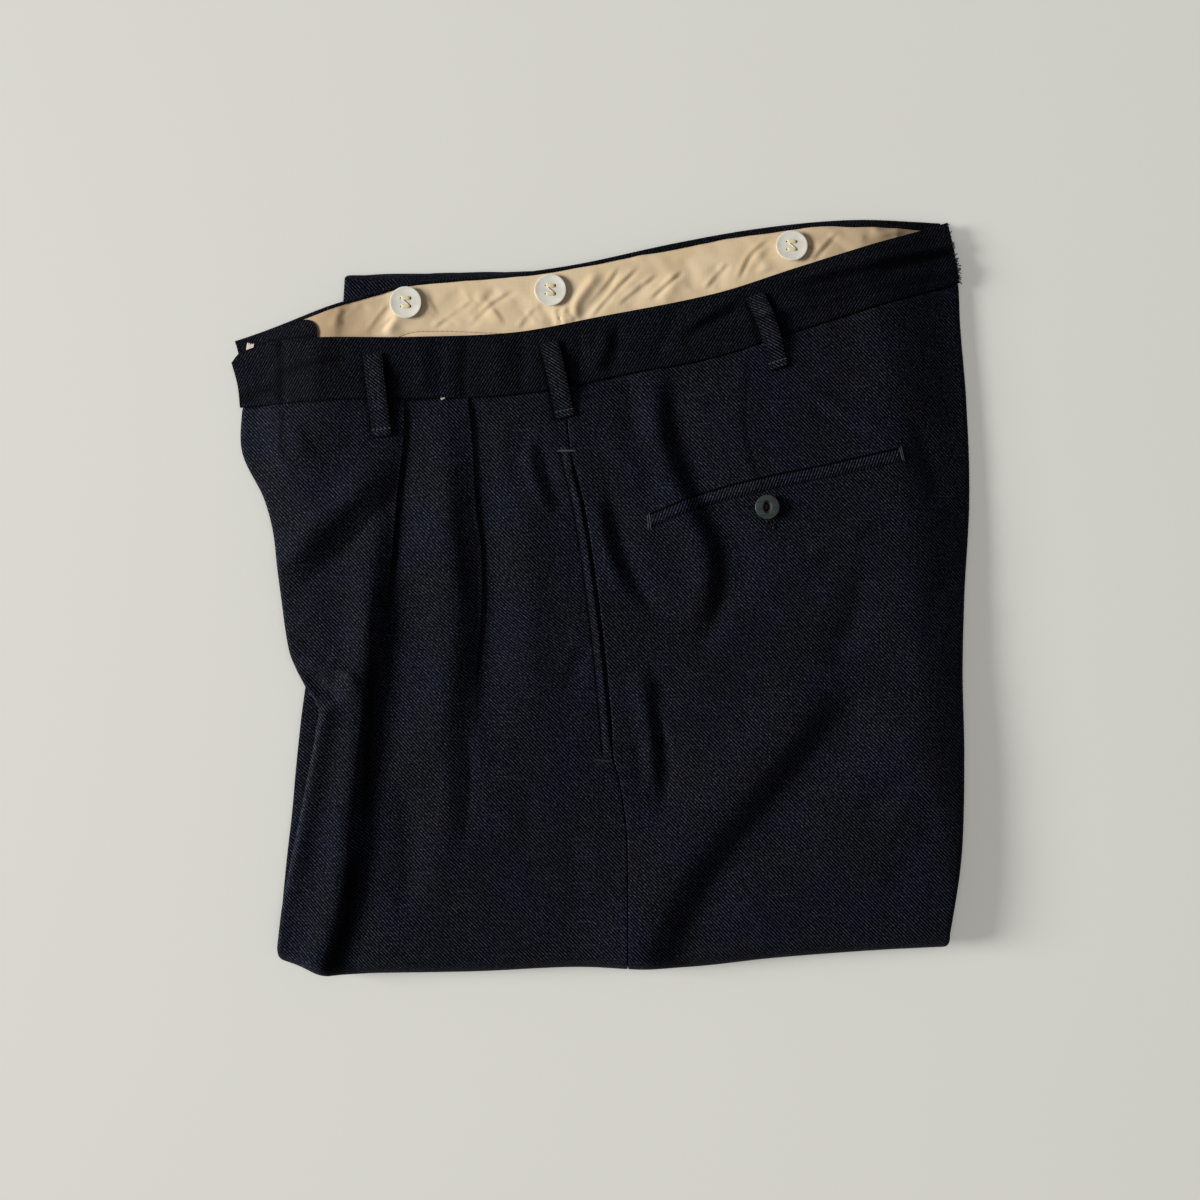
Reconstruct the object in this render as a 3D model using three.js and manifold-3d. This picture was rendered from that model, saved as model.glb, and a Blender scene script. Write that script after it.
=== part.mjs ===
// Slacks folded flat. The left side of the seat lies on top, the right side under it, and both
// legs are folded in below them. Millimetres: +X to the wearer's back, +Y to the waist, +Z up,
// with the origin under the middle of the garment.

import * as THREE from "three";
import Module from "manifold-3d";
import { mergeVertices } from "three/addons/utils/BufferGeometryUtils.js";

const wasm = await Module();
wasm.setup();
const { lerp, clamp, smoothstep, degToRad } = THREE.MathUtils;

// ---------------------------------------------------------------- driving sizes

const CLOTH = 1.2; // wall of one layer of suiting
const SEAM = 0.3; // space between two pieces that are sewn together
const BAND_HEIGHT = 35; // waistband, from its seam to its top edge
const STACK = 13; // height of the two folded legs
const DROOP = 60; // way in which the seat comes down to the table beside the legs
const BULGE = 9; // how far the bottom fold rounds out, seen from above
const TUCK = 45; // length of the upper layer that shows under the legs
const MIDDLE = { x: -1.45, y: 0.45 }; // middle of the garment in the coordinates of the tables below
const DEEPEST = 2.8; // no trough goes further than this into a panel

// Heights of the layers above the folded legs, lowest first
const LEVEL = {
  rightUnder: 0.6,
  rightTop: 2.5,
  liningUnder: 2.8,
  liningTop: 3.6,
  facingUnder: 4.1,
  facingTop: 4.9,
  bandUnder: 5.5,
  bandTop: 7.7,
  panelTop: 7.2,
};

// A panel's outer edge: its roundness, how far it turns in, and the wide dome beside it
const TURN = { radius: 3.2, rim: 1, dome: 1.2, reach: 28 };

const RIGHT_INSET = 4.6; // the right side stops this far inside the left side's turned edges
const BAND_INSET = 3.4; // and its waistband, at the back

const LOOP = { thickness: 1.3, gap: 2, seat: 0.5 };
const BRACE_BUTTON = { diameter: 18.5, thickness: 2.6, hole: 1.8, spacing: 4.6 };
const POCKET_BUTTON = { diameter: 14, thickness: 2.6, hole: 1.5, spacing: 3.2 };
const WELT = { height: 7, thickness: 1.1 };
const SIDE_POCKET = { top: 80, bottom: -82, slit: 2, facing: 16, hem: 6, raised: 0.6 };

// ---------------------------------------------------------------- outlines

const FRONT_EDGE = [
  { x: -205.5, y: 110 },
  { x: -205.5, y: 83 },
  { x: -192.5, y: 57.5 },
  { x: -186, y: 35 },
  { x: -181.5, y: 1 },
  { x: -176, y: -32 },
  { x: -169, y: -48 },
  { x: -160, y: -62 },
  { x: -161, y: -75 },
  { x: -171.5, y: -130 },
  { x: -180, y: -172 },
  { x: -184, y: -205 },
];
const BACK_EDGE = [
  { x: 196, y: 214 },
  { x: 200.5, y: 194 },
  { x: 203, y: 178.5 },
  { x: 204, y: 156 },
  { x: 207.6, y: 110 },
  { x: 209, y: 57 },
  { x: 205.5, y: 1 },
  { x: 204, y: -44 },
  { x: 204.5, y: -88 },
  { x: 202.5, y: -145 },
  { x: 194, y: -198 },
];
const SIDE_SEAM = [
  { x: -21, y: 117 },
  { x: -18, y: 82 },
  { x: -10, y: 46 },
  { x: -0.7, y: -20 },
  { x: 4.5, y: -70 },
  { x: 9.6, y: -104 },
  { x: 13.5, y: -133 },
  { x: 14.3, y: -207 },
];
const WAIST_SEAM = [
  { x: -205.5, y: 107.5 },
  { x: -146, y: 110.5 },
  { x: -75, y: 111.5 },
  { x: -30, y: 115.5 },
  { x: 15, y: 125 },
  { x: 62, y: 134 },
  { x: 108, y: 148.5 },
  { x: 150, y: 162 },
  { x: 203, y: 178.5 },
];
const LEFT_BAND_TOP = [
  { x: -211.2, y: 133 },
  { x: -206, y: 139 },
  { x: -182, y: 145 },
  { x: -105, y: 146 },
  { x: -49, y: 148.5 },
  { x: -4, y: 156.8 },
  { x: 63, y: 170.2 },
  { x: 108, y: 184.5 },
  { x: 152, y: 198.5 },
  { x: 196, y: 213 },
];
const LEFT_BAND_FRONT = [
  { x: -211.2, y: 134 },
  { x: -207.5, y: 120.5 },
  { x: -206, y: 107.5 },
];
const RIGHT_BAND_TOP = [
  { x: -210, y: 146.3 },
  { x: -179, y: 155.8 },
  { x: -147, y: 166.3 },
  { x: -105, y: 177.7 },
  { x: -60, y: 180.7 },
  { x: -15, y: 186.2 },
  { x: 41, y: 199.3 },
  { x: 86, y: 207.6 },
  { x: 131, y: 212.5 },
  { x: 177, y: 214.9 },
  { x: 197, y: 214.4 },
];
const RIGHT_FRONT_END = [
  { x: -210, y: 146.5 },
  { x: -205.5, y: 127 },
  { x: -204, y: 102 },
  { x: -204, y: 83 },
];
const BOTTOM_FOLD = [
  { x: -184, y: -205 },
  { x: -171, y: -209 },
  { x: -156, y: -213.8 },
  { x: -127, y: -212.6 },
  { x: -70, y: -211.5 },
  { x: -15, y: -209 },
  { x: 41, y: -210 },
  { x: 97, y: -204 },
  { x: 164, y: -199 },
  { x: 194, y: -198.5 },
];

// Where the front lies over itself. Each pleat opens to the back, and its cloth comes down again
// within its reach towards the front. It fades out between two heights of y.
const PLEATS = [
  {
    height: 1.8,
    reach: 24,
    full: 20,
    gone: -60,
    edge: [
      { x: -111, y: 109 },
      { x: -111.5, y: 89 },
      { x: -115, y: 58 },
      { x: -119.3, y: 9 },
      { x: -127, y: -61 },
      { x: -133, y: -118 },
      { x: -140, y: -177 },
      { x: -153, y: -207 },
    ],
  },
  {
    height: 1.6,
    reach: 22,
    full: 0,
    gone: -75,
    edge: [
      { x: -75, y: 110 },
      { x: -73, y: 89 },
      { x: -71, y: 54 },
      { x: -67.8, y: 25 },
      { x: -67.8, y: -18 },
      { x: -69.5, y: -62 },
      { x: -72, y: -207 },
    ],
  },
];

// Soft folds in the panels, from the waist down: height above the panel (a trough is negative),
// half-width, and the line it follows, as [x, y]. One that stays open runs over the bottom fold.
const FOLDS = [
  // the deep valley behind the front crease, and the swell on each side of it
  {
    height: -2.8,
    reach: 8,
    open: true,
    line: [[-112, 60], [-117, -3], [-124, -61], [-129, -110], [-136, -150], [-153, -206]],
  },
  { height: 1.9, reach: 15, line: [[-152, 20], [-148, -45], [-153, -90], [-160, -150], [-170, -200]] },
  { height: 1.4, reach: 15, line: [[-96, 40], [-98, -50], [-103, -120], [-112, -190]] },
  // between the pleats and the side pocket
  { height: -1.6, reach: 9, line: [[-64, 40], [-62, -20], [-64, -70]] },
  { height: 1, reach: 14, line: [[-45, 70], [-42, 0], [-40, -80]] },
  // from the front loop to the fly
  { height: -1.5, reach: 10, line: [[-130, 66], [-150, 42], [-171, 14]] },
  { height: 1.2, reach: 12, line: [[-165, 75], [-185, 60]] },
  // pucker at the crotch
  { height: -1.8, reach: 6, line: [[-178, -34], [-169, -48], [-156, -50]] },
  // in the back, below the waistband and under the pocket
  { height: -1.6, reach: 9, line: [[29, 112], [46, 66], [64, 43], [64, 8], [44, -33]] },
  { height: -2.6, reach: 15, open: true, line: [[130, -24], [116, -67], [78, -119], [52, -157], [28, -206]] },
  { height: 1.8, reach: 20, line: [[150, -60], [128, -110], [96, -160]] },
  { height: 1.3, reach: 20, line: [[85, -20], [58, -70], [40, -120]] },
  { height: -1.1, reach: 7, line: [[0, 40], [14, 10], [21, -12]] },
  { height: -1.2, reach: 6, line: [[26, -47], [31, -85], [32, -119]] },
  { height: -0.9, reach: 7, line: [[170, 95], [180, 70], [185, 50]] },
];

// The stack of folded legs from above, and how far each of its four layers stops short of that
// outline at the front and at the back, lowest layer first
const LEGS = {
  waistFront: { x: -147, y: 180.4 },
  waistBack: { x: 146, y: 187.5 },
  foldFront: { x: -185.3, y: -202 },
  foldBack: { x: 193, y: -194 },
  corner: 5,
};
const LAYERS = [
  { front: 2.2, back: 4.5, fold: 54 },
  { front: 0.6, back: 3, fold: 4 },
  { front: 3, back: 5.5, fold: 4 },
  { front: 0.8, back: 3.6, fold: 4 },
];

// ---------------------------------------------------------------- curves

// A smooth line through rows of {x, y}: the one value as a function of the other
function curve(rows, along) {
  const other = along === "x" ? "y" : "x";
  const sorted = [...rows].sort((a, b) => a[along] - b[along]);
  const last = sorted.length - 1;
  const slope = sorted.map((_, i) => {
    const before = sorted[Math.max(i - 1, 0)];
    const after = sorted[Math.min(i + 1, last)];
    return (after[other] - before[other]) / (after[along] - before[along]);
  });
  return (value) => {
    if (value <= sorted[0][along]) return sorted[0][other];
    if (value >= sorted[last][along]) return sorted[last][other];
    const i = sorted.findIndex((row) => row[along] > value) - 1;
    const step = sorted[i + 1][along] - sorted[i][along];
    const t = (value - sorted[i][along]) / step;
    const rise = sorted[i + 1][other] - sorted[i][other];
    const start = slope[i] * step - rise;
    const end = rise - slope[i + 1] * step;
    return lerp(sorted[i][other], sorted[i + 1][other], t) + t * (1 - t) * (start * (1 - t) + end * t);
  };
}

const frontEdge = curve(FRONT_EDGE, "y");
const backEdge = curve(BACK_EDGE, "y");
const sideSeam = curve(SIDE_SEAM, "y");
const waistSeam = curve(WAIST_SEAM, "x");
const leftBandTop = curve(LEFT_BAND_TOP, "x");
const leftBandFront = curve(LEFT_BAND_FRONT, "y");
const rightBandTop = curve(RIGHT_BAND_TOP, "x");
const rightFrontEnd = curve(RIGHT_FRONT_END, "y");
const bottomFold = curve(BOTTOM_FOLD, "x");
const pleatEdges = PLEATS.map((pleat) => curve(pleat.edge, "y"));

// Distance from a point to a line of [x, y] points, and the share of the line that lies before it
function nearest(line, x, y) {
  let best = { distance: Infinity, share: 0 };
  for (let i = 0; i + 1 < line.length; i++) {
    const [ax, ay] = line[i];
    const [bx, by] = line[i + 1];
    const t = clamp(((x - ax) * (bx - ax) + (y - ay) * (by - ay)) / ((bx - ax) ** 2 + (by - ay) ** 2), 0, 1);
    const distance = Math.hypot(x - lerp(ax, bx, t), y - lerp(ay, by, t));
    if (distance < best.distance) best = { distance, share: (i + t) / (line.length - 1) };
  }
  return best;
}

// ---------------------------------------------------------------- heights

// How far a point lies outside a side of the leg stack that runs from one corner to another
function outside(from, to, x, y) {
  const length = Math.hypot(to.x - from.x, to.y - from.y);
  return ((to.y - from.y) * (x - from.x) - (to.x - from.x) * (y - from.y)) / length;
}

// Height of the legs under a point, easing down to the table beside them
function stackRise(x, y) {
  const front = outside(LEGS.waistFront, LEGS.foldFront, x, y);
  const back = outside(LEGS.foldBack, LEGS.waistBack, x, y);
  const waist = outside(LEGS.waistBack, LEGS.waistFront, x, y);
  const past = Math.hypot(Math.max(front, back, 0), Math.max(waist, 0));
  return STACK * (1 - smoothstep(past, 0, DROOP));
}

function foldRise(x, y) {
  let rise = 0;
  for (const fold of FOLDS) {
    const { distance, share } = nearest(fold.line, x, y);
    const ends = smoothstep(share, 0, 0.2) * (fold.open ? 1 : 1 - smoothstep(share, 0.8, 1));
    rise += fold.height * ends * Math.exp(-((distance / fold.reach) ** 2));
  }
  return Math.max(rise, -DEEPEST);
}

// The doubled cloth of the pleats: a step down at the edge, a slow fall towards the front
const PLEAT_STEP = 0.9;
function pleatRise(x, y) {
  return PLEATS.reduce((sum, pleat, i) => {
    const before = pleatEdges[i](y) - x;
    const step = clamp(1 + before / PLEAT_STEP, 0, 1);
    const fall = (1 - clamp(before / pleat.reach, 0, 1)) ** 2;
    return sum + pleat.height * step * fall * smoothstep(y, pleat.gone, pleat.full);
  }, 0);
}

// The turned hem along the opening of the side pocket, on the front only
function hemRise(x, y) {
  const before = sideSeam(y) - x;
  const long = smoothstep(y, SIDE_POCKET.bottom - 6, SIDE_POCKET.bottom);
  const across = before > 0 ? 1 - smoothstep(before, SIDE_POCKET.hem - 0.8, SIDE_POCKET.hem) : 0;
  return SIDE_POCKET.raised * across * long * (1 - smoothstep(y, SIDE_POCKET.top, SIDE_POCKET.top + 6));
}

const panelInside = (x, y) => stackRise(x, y) + LEVEL.panelTop + foldRise(x, y);
const panelOutside = (x, y) => panelInside(x, y) + pleatRise(x, y) + hemRise(x, y);

// How far a panel's surface comes down at a distance from its folded edge
function turnDown(distance) {
  const inner = clamp(TURN.radius - distance, 0, TURN.radius);
  const round = TURN.radius - Math.sqrt(TURN.radius ** 2 - inner ** 2);
  return round + TURN.dome * (1 - smoothstep(distance, 0, TURN.reach));
}

const softEdge = (distance, depth) => depth * (1 - smoothstep(distance, 0, 1.8));

// ---------------------------------------------------------------- grids and solids

const shares = (count) => Array.from({ length: count + 1 }, (_, i) => i / count);

// The point where a column, x as a function of y, meets a row, y as a function of x
function crossing(column, row) {
  let y = 0;
  let x = column(y);
  for (let round = 0; round < 14; round++) {
    y = row(x);
    x = column(y);
  }
  return { x, y };
}

// Columns between two lines: some at set distances from each of them, the rest evenly between
function columnsBetween(left, right, fromLeft, even, fromRight) {
  const start = fromLeft.at(-1);
  const end = fromRight[0];
  return [
    ...fromLeft.map((d) => (y) => left(y) + d),
    ...shares(even + 1).slice(1, -1).map((t) => (y) => lerp(left(y) + start, right(y) - end, t)),
    ...fromRight.map((d) => (y) => right(y) - d),
  ];
}

// Outward directions of a grid of points, whose rows run down and whose columns run to +X
function normalsOf(grid) {
  const at = (r, c) => grid[clamp(r, 0, grid.length - 1)][clamp(c, 0, grid[0].length - 1)];
  return grid.map((row, r) =>
    row.map((_, c) => {
      const down = at(r + 1, c).clone().sub(at(r - 1, c));
      const across = at(r, c + 1).clone().sub(at(r, c - 1));
      return down.cross(across).normalize();
    }),
  );
}

function movedIn(grid, distance) {
  const normals = normalsOf(grid);
  return grid.map((row, r) => row.map((p, c) => p.clone().addScaledVector(normals[r][c], -distance)));
}

// The closed solid between an outer and an inner grid of the same size
function wall(outer, inner) {
  const rows = outer.length;
  const cols = outer[0].length;
  const positions = [...outer.flat(), ...inner.flat()].flatMap((p) => [p.x, p.y, p.z]);
  const out = (r, c) => r * cols + c;
  const back = (i) => i + rows * cols;
  const index = [];
  const quad = (a, b, c, d) => index.push(a, b, c, a, c, d);
  for (let r = 0; r + 1 < rows; r++) {
    for (let c = 0; c + 1 < cols; c++) {
      const corners = [out(r, c), out(r + 1, c), out(r + 1, c + 1), out(r, c + 1)];
      quad(...corners);
      const [p, q, s, t] = corners.map(back);
      index.push(p, s, q, p, t, s);
    }
  }
  const border = [];
  for (let r = 0; r + 1 < rows; r++) border.push([out(r, 0), out(r + 1, 0)]);
  for (let c = 0; c + 1 < cols; c++) border.push([out(rows - 1, c), out(rows - 1, c + 1)]);
  for (let r = rows - 1; r > 0; r--) border.push([out(r, cols - 1), out(r - 1, cols - 1)]);
  for (let c = cols - 1; c > 0; c--) border.push([out(0, c), out(0, c - 1)]);
  for (const [a, b] of border) quad(b, a, back(a), back(b));
  return meshOf(positions, index);
}

function meshOf(positions, index) {
  const geometry = new THREE.BufferGeometry();
  geometry.setAttribute("position", new THREE.Float32BufferAttribute(positions, 3));
  geometry.setIndex(index);
  geometry.computeVertexNormals();
  return geometry;
}

// A layer of even height over places in a grid, between two heights above the legs
function layer(places, under, top) {
  const raised = (height) =>
    places.map((row) => row.map((p) => new THREE.Vector3(p.x, p.y, height(p.x, p.y, p))));
  return wall(raised(top), raised(under));
}

// ---------------------------------------------------------------- panels

const FLAT_ROWS = 19;
const TURN_ROWS = 6;
const PANEL_ROWS = [
  ...shares(FLAT_ROWS).map((share) => ({ share, angle: 0, tuck: 0 })),
  ...shares(TURN_ROWS).slice(1).map((t) => ({ share: 1, angle: t * Math.PI, tuck: 0 })),
  { share: 1, angle: Math.PI, tuck: TUCK },
];

// A panel from the waist seam down, over the bottom fold and in under the legs
function panel(columns, freeEdge, height) {
  const grid = PANEL_ROWS.map(({ share, angle, tuck }) =>
    columns.map((column) => {
      const row = (x) => lerp(waistSeam(x) - SEAM / 2, bottomFold(x) + BULGE, share);
      const { x, y } = crossing(column, row);
      const fold = (1 + Math.cos(angle)) / 2;
      return new THREE.Vector3(x, y - BULGE * Math.sin(angle) + tuck, height(x, y) * fold);
    }),
  );
  const normals = normalsOf(grid);
  return grid.map((row, r) =>
    row.map((p, c) => {
      const last = row.length - 1;
      const fromEnd = freeEdge === "front" ? c : last - c;
      const edge = row[freeEdge === "front" ? 0 : last];
      const below = PANEL_ROWS[r].angle / Math.PI;
      const drop = turnDown(Math.abs(p.x - edge.x)) + (fromEnd === 0 ? TURN.rim : 0);
      return p.clone().addScaledVector(normals[r][c], -drop * lerp(1, 0.35, below));
    }),
  );
}

function panelSolid(columns, freeEdge) {
  const outer = panel(columns, freeEdge, panelOutside);
  const inner = movedIn(panel(columns, freeEdge, panelInside), CLOTH);
  return wall(outer, inner);
}

// Half the opening between front and back: a seam, or the slit of the side pocket
function seamHalf(y) {
  const open = smoothstep(y, SIDE_POCKET.bottom, SIDE_POCKET.bottom + 12);
  const closed = smoothstep(y, SIDE_POCKET.top - 12, SIDE_POCKET.top);
  return lerp(SEAM / 2, SIDE_POCKET.slit / 2, open * (1 - closed));
}

function frontLeft() {
  const hem = (y) => sideSeam(y) - seamHalf(y);
  const columns = [
    ...columnsBetween(frontEdge, pleatEdges[0], [0, 0.001, 0.9, 2.2, 4.5, 12], 4, [7, 0]),
    ...columnsBetween(pleatEdges[0], pleatEdges[1], [PLEAT_STEP, 6], 2, [7, 0]),
    ...columnsBetween(pleatEdges[1], hem, [PLEAT_STEP, 7], 2, [SIDE_POCKET.hem, SIDE_POCKET.hem - 0.8, 0]),
  ];
  return panelSolid(columns, "front");
}

function backLeft() {
  const seam = (y) => sideSeam(y) + seamHalf(y);
  const columns = columnsBetween(seam, backEdge, [0, 6], 11, [12, 4.5, 2.2, 0.9, 0.001, 0]);
  return panelSolid(columns, "back");
}

// ---------------------------------------------------------------- waist

const BAND_COLUMNS = shares(34);

function waistbandLeft() {
  const rows = [0, 0.04, 0.12, 0.9, 1];
  const places = rows.map((v) =>
    BAND_COLUMNS.map((u) =>
      crossing(
        (y) => lerp(leftBandFront(y), backEdge(y), u),
        (x) => lerp(leftBandTop(x), waistSeam(x) + SEAM / 2, v),
      ),
    ),
  );
  const top = (x, y) => {
    const nearestEdge = Math.min(leftBandTop(x) - y, x - leftBandFront(y), backEdge(y) - x);
    return stackRise(x, y) + LEVEL.bandTop - softEdge(nearestEdge, 1);
  };
  return layer(places, (x, y) => stackRise(x, y) + LEVEL.bandUnder, top);
}

// Places on the right waistband: rows at set distances below its top edge
function rightBandPlaces(depths, columns) {
  return depths.map((depth) =>
    columns.map((u) =>
      crossing(
        (y) => lerp(rightFrontEnd(y), backEdge(y) - BAND_INSET, u),
        (x) => rightBandTop(x) - depth,
      ),
    ),
  );
}

// The cloth turns over the top edge and reaches as high there as the lining beside it
const BAND_LIP = 1.8;
function waistbandRight() {
  const depths = [0, 0.7, BAND_LIP, BAND_LIP + 0.2, BAND_HEIGHT / 2, BAND_HEIGHT];
  const places = rightBandPlaces(depths, BAND_COLUMNS);
  const top = (x, y) => {
    const depth = rightBandTop(x) - y;
    const lip = depth < BAND_LIP + 0.1 ? LEVEL.liningTop + 0.4 - LEVEL.rightTop : 0;
    return stackRise(x, y) + LEVEL.rightTop + lip - softEdge(depth, lip && 0.9);
  };
  return layer(places, (x, y) => stackRise(x, y) + LEVEL.rightUnder, top);
}

function waistbandLining() {
  const depths = [BAND_LIP + 0.5, BAND_HEIGHT / 2, BAND_HEIGHT - 0.5];
  const places = rightBandPlaces(depths, BAND_COLUMNS.slice(3, -1));
  const raised = (height) => (x, y) => stackRise(x, y) + height;
  return layer(places, raised(LEVEL.liningUnder), raised(LEVEL.liningTop));
}

// The facing ends in a half circle over the lining, and follows the front end of the waistband
function flyExtension() {
  const round = { x: -171.5, radius: 11 };
  const columns = [
    ...[0, 0.25, 0.5, 0.75].map((t) => (y) => lerp(rightFrontEnd(y) + 0.8, round.x, t)),
    ...[90, 70, 50, 30, 14].map((angle) => () => round.x + round.radius * Math.cos(degToRad(angle))),
  ];
  const halfHeight = (x) => Math.sqrt(round.radius ** 2 - Math.max(x - round.x, 0) ** 2);
  const places = [-1, -0.6, 0, 0.6, 1].map((v) =>
    columns.map((column) =>
      crossing(column, (x) => rightBandTop(x) - BAND_LIP - 0.6 - round.radius - v * halfHeight(x)),
    ),
  );
  const raised = (height) => (x, y) => stackRise(x, y) + height;
  return layer(places, raised(LEVEL.facingUnder), raised(LEVEL.facingTop));
}

// ---------------------------------------------------------------- hidden layers

function rightHalf() {
  const left = (y) => Math.max(frontEdge(y), rightFrontEnd(y) - 3) + RIGHT_INSET;
  const places = shares(16).map((v) =>
    shares(22).map((u) =>
      crossing(
        (y) => lerp(left(y), backEdge(y) - RIGHT_INSET, u),
        (x) => lerp(rightBandTop(x) - BAND_HEIGHT - SEAM, bottomFold(x) + BULGE + 5, v),
      ),
    ),
  );
  const raised = (height) => (x, y) => stackRise(x, y) + height;
  return layer(places, raised(LEVEL.rightUnder), raised(LEVEL.rightTop));
}

// The leg stack's outline, moved in by a distance on each side, with round corners
function legRing(inset, z) {
  const sides = [
    { from: LEGS.waistFront, to: LEGS.foldFront, inset: inset.front },
    { from: LEGS.foldFront, to: LEGS.foldBack, inset: inset.fold },
    { from: LEGS.foldBack, to: LEGS.waistBack, inset: inset.back },
    { from: LEGS.waistBack, to: LEGS.waistFront, inset: inset.waist },
  ].map(({ from, to, inset: distance }) => {
    const along = new THREE.Vector2(to.x - from.x, to.y - from.y).normalize();
    const inward = new THREE.Vector2(-along.y, along.x);
    return { point: new THREE.Vector2(from.x, from.y).addScaledVector(inward, distance), along };
  });
  const corners = sides.map((side, i) => {
    const next = sides[(i + 1) % 4];
    const t = next.point.clone().sub(side.point).cross(next.along) / side.along.cross(next.along);
    return side.point.clone().addScaledVector(side.along, t);
  });
  const ring = [];
  corners.forEach((corner, i) => {
    const before = corners[(i + 3) % 4];
    const after = corners[(i + 1) % 4];
    const start = corner.clone().lerp(before, LEGS.corner / corner.distanceTo(before));
    const end = corner.clone().lerp(after, LEGS.corner / corner.distanceTo(after));
    const bend = new THREE.QuadraticBezierCurve(start, corner, end).getPoints(4);
    const stretch = after.clone().lerp(corner, LEGS.corner / corner.distanceTo(after));
    ring.push(...bend, ...shares(7).slice(1, -1).map((t) => end.clone().lerp(stretch, t)));
  });
  return ring.map((p) => new THREE.Vector3(p.x, p.y, z));
}

// Four soft layers, one over the other, with a groove between each two
function foldedLegs() {
  const groove = 1.6;
  const high = STACK / LAYERS.length;
  const round = (share) => 1 - Math.sqrt(1 - (2 * share - 1) ** 2);
  const rings = LAYERS.flatMap((row, i) =>
    [0, 0.2, 0.5, 0.8, 0.96].map((share) => {
      const z = (i + share) * high;
      const whole = round(z / STACK);
      const side = groove * round(share);
      const inset = { front: row.front + side, back: row.back + side };
      return legRing({ ...inset, waist: 5 * whole, fold: row.fold + 6 * whole }, z);
    }),
  );
  const lid = { front: 14, back: 14, waist: 14, fold: 20 };
  rings.push(legRing(lid, STACK));
  const size = rings[0].length;
  const positions = rings.flat().flatMap((p) => [p.x, p.y, p.z]);
  const index = [];
  for (let k = 0; k + 1 < rings.length; k++) {
    for (let j = 0; j < size; j++) {
      const a = k * size + j;
      const b = k * size + ((j + 1) % size);
      index.push(a, b, b + size, a, b + size, a + size);
    }
  }
  const cap = (ring, facing) => {
    const centre = positions.length / 3;
    const middle = rings[ring].reduce((sum, p) => sum.add(p), new THREE.Vector3()).divideScalar(size);
    positions.push(middle.x, middle.y, middle.z);
    for (let j = 0; j < size; j++) {
      const a = ring * size + j;
      const b = ring * size + ((j + 1) % size);
      index.push(...(facing > 0 ? [centre, a, b] : [centre, b, a]));
    }
  };
  cap(0, -1);
  cap(rings.length - 1, 1);
  return meshOf(positions, index);
}

// ---------------------------------------------------------------- pockets

// The strip of cloth behind the slit of the side pocket, under both panels
function sidePocketFacing() {
  const places = shares(10).map((v) => {
    const y = lerp(SIDE_POCKET.top - 3, SIDE_POCKET.bottom + 3, v);
    return [-0.5, 0, 0.5].map((u) => ({ x: sideSeam(y) + u * SIDE_POCKET.facing, y }));
  });
  const under = (gap) => (x, y) => panelInside(x, y) - CLOTH - gap;
  return layer(places, under(1.3), under(0.5));
}

const WELT_LINE = [
  { x: 25, y: 42 },
  { x: 55, y: 54 },
  { x: 87, y: 62.5 },
  { x: 128, y: 71 },
  { x: 168, y: 80 },
];

function backPocketWelt() {
  const middle = curve(WELT_LINE, "x");
  const ends = [WELT_LINE[0].x, WELT_LINE.at(-1).x];
  const places = [0.5, 0.35, 0, -0.35, -0.5].map((v) =>
    shares(14).map((u) => {
      const x = lerp(...ends, u);
      return { x, y: middle(x) + v * WELT.height };
    }),
  );
  const top = (x, y) => {
    const distance = WELT.height / 2 - Math.abs(y - middle(x));
    return panelInside(x, y) + 0.5 + WELT.thickness - softEdge(distance, 0.5);
  };
  return layer(places, (x, y) => panelInside(x, y) + 0.5, top);
}

// ---------------------------------------------------------------- belt loops

const LOOPS = {
  belt_loop_front: { width: 11.3, top: { x: -128.5, y: 136 }, bottom: { x: -123, y: 90 } },
  belt_loop_side: { width: 11, top: { x: -29.8, y: 142.5 }, bottom: { x: -20.7, y: 100.5 } },
  belt_loop_back: { width: 10, top: { x: 86, y: 168.5 }, bottom: { x: 98.6, y: 128 } },
};

// What the loops lie on: the waistband, or the panel below its seam
function leftSurface(x, y) {
  const onBand = stackRise(x, y) + LEVEL.bandTop;
  return y > waistSeam(x) - 3 ? Math.max(onBand, panelOutside(x, y)) : panelOutside(x, y);
}

function beltLoop({ width, top, bottom }) {
  const along = new THREE.Vector2(bottom.x - top.x, bottom.y - top.y);
  const across = new THREE.Vector2(-along.y, along.x).normalize();
  const columns = [-0.5, -0.42, 0, 0.42, 0.5];
  const places = [0, 0.02, 0.1, 0.25, 0.4, 0.55, 0.7, 0.82, 0.9, 0.98, 1].map((t) =>
    columns.map((u) => ({
      x: top.x + along.x * t + across.x * u * width,
      y: top.y + along.y * t + across.y * u * width,
      t,
      u,
    })),
  );
  const surfaceAt = (t) =>
    Math.max(
      ...[-0.5, -0.25, 0, 0.25, 0.5].map((u) =>
        leftSurface(top.x + along.x * t + across.x * u * width, top.y + along.y * t + across.y * u * width),
      ),
    );
  const lift = (t) => LOOP.seat + LOOP.gap * smoothstep(t, 0.08, 0.3) * (1 - smoothstep(t, 0.62, 0.9));
  const end = (t) => softEdge(Math.min(t, 1 - t) * along.length(), 0.4);
  const side = (u) => softEdge((0.5 - Math.abs(u)) * width, 0.5);
  const under = (x, y, { t }) => surfaceAt(t) + lift(t);
  return layer(places, under, (x, y, p) => under(x, y, p) + LOOP.thickness - end(p.t) - side(p.u));
}

// ---------------------------------------------------------------- buttons

const SEGMENTS = 28;

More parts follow.
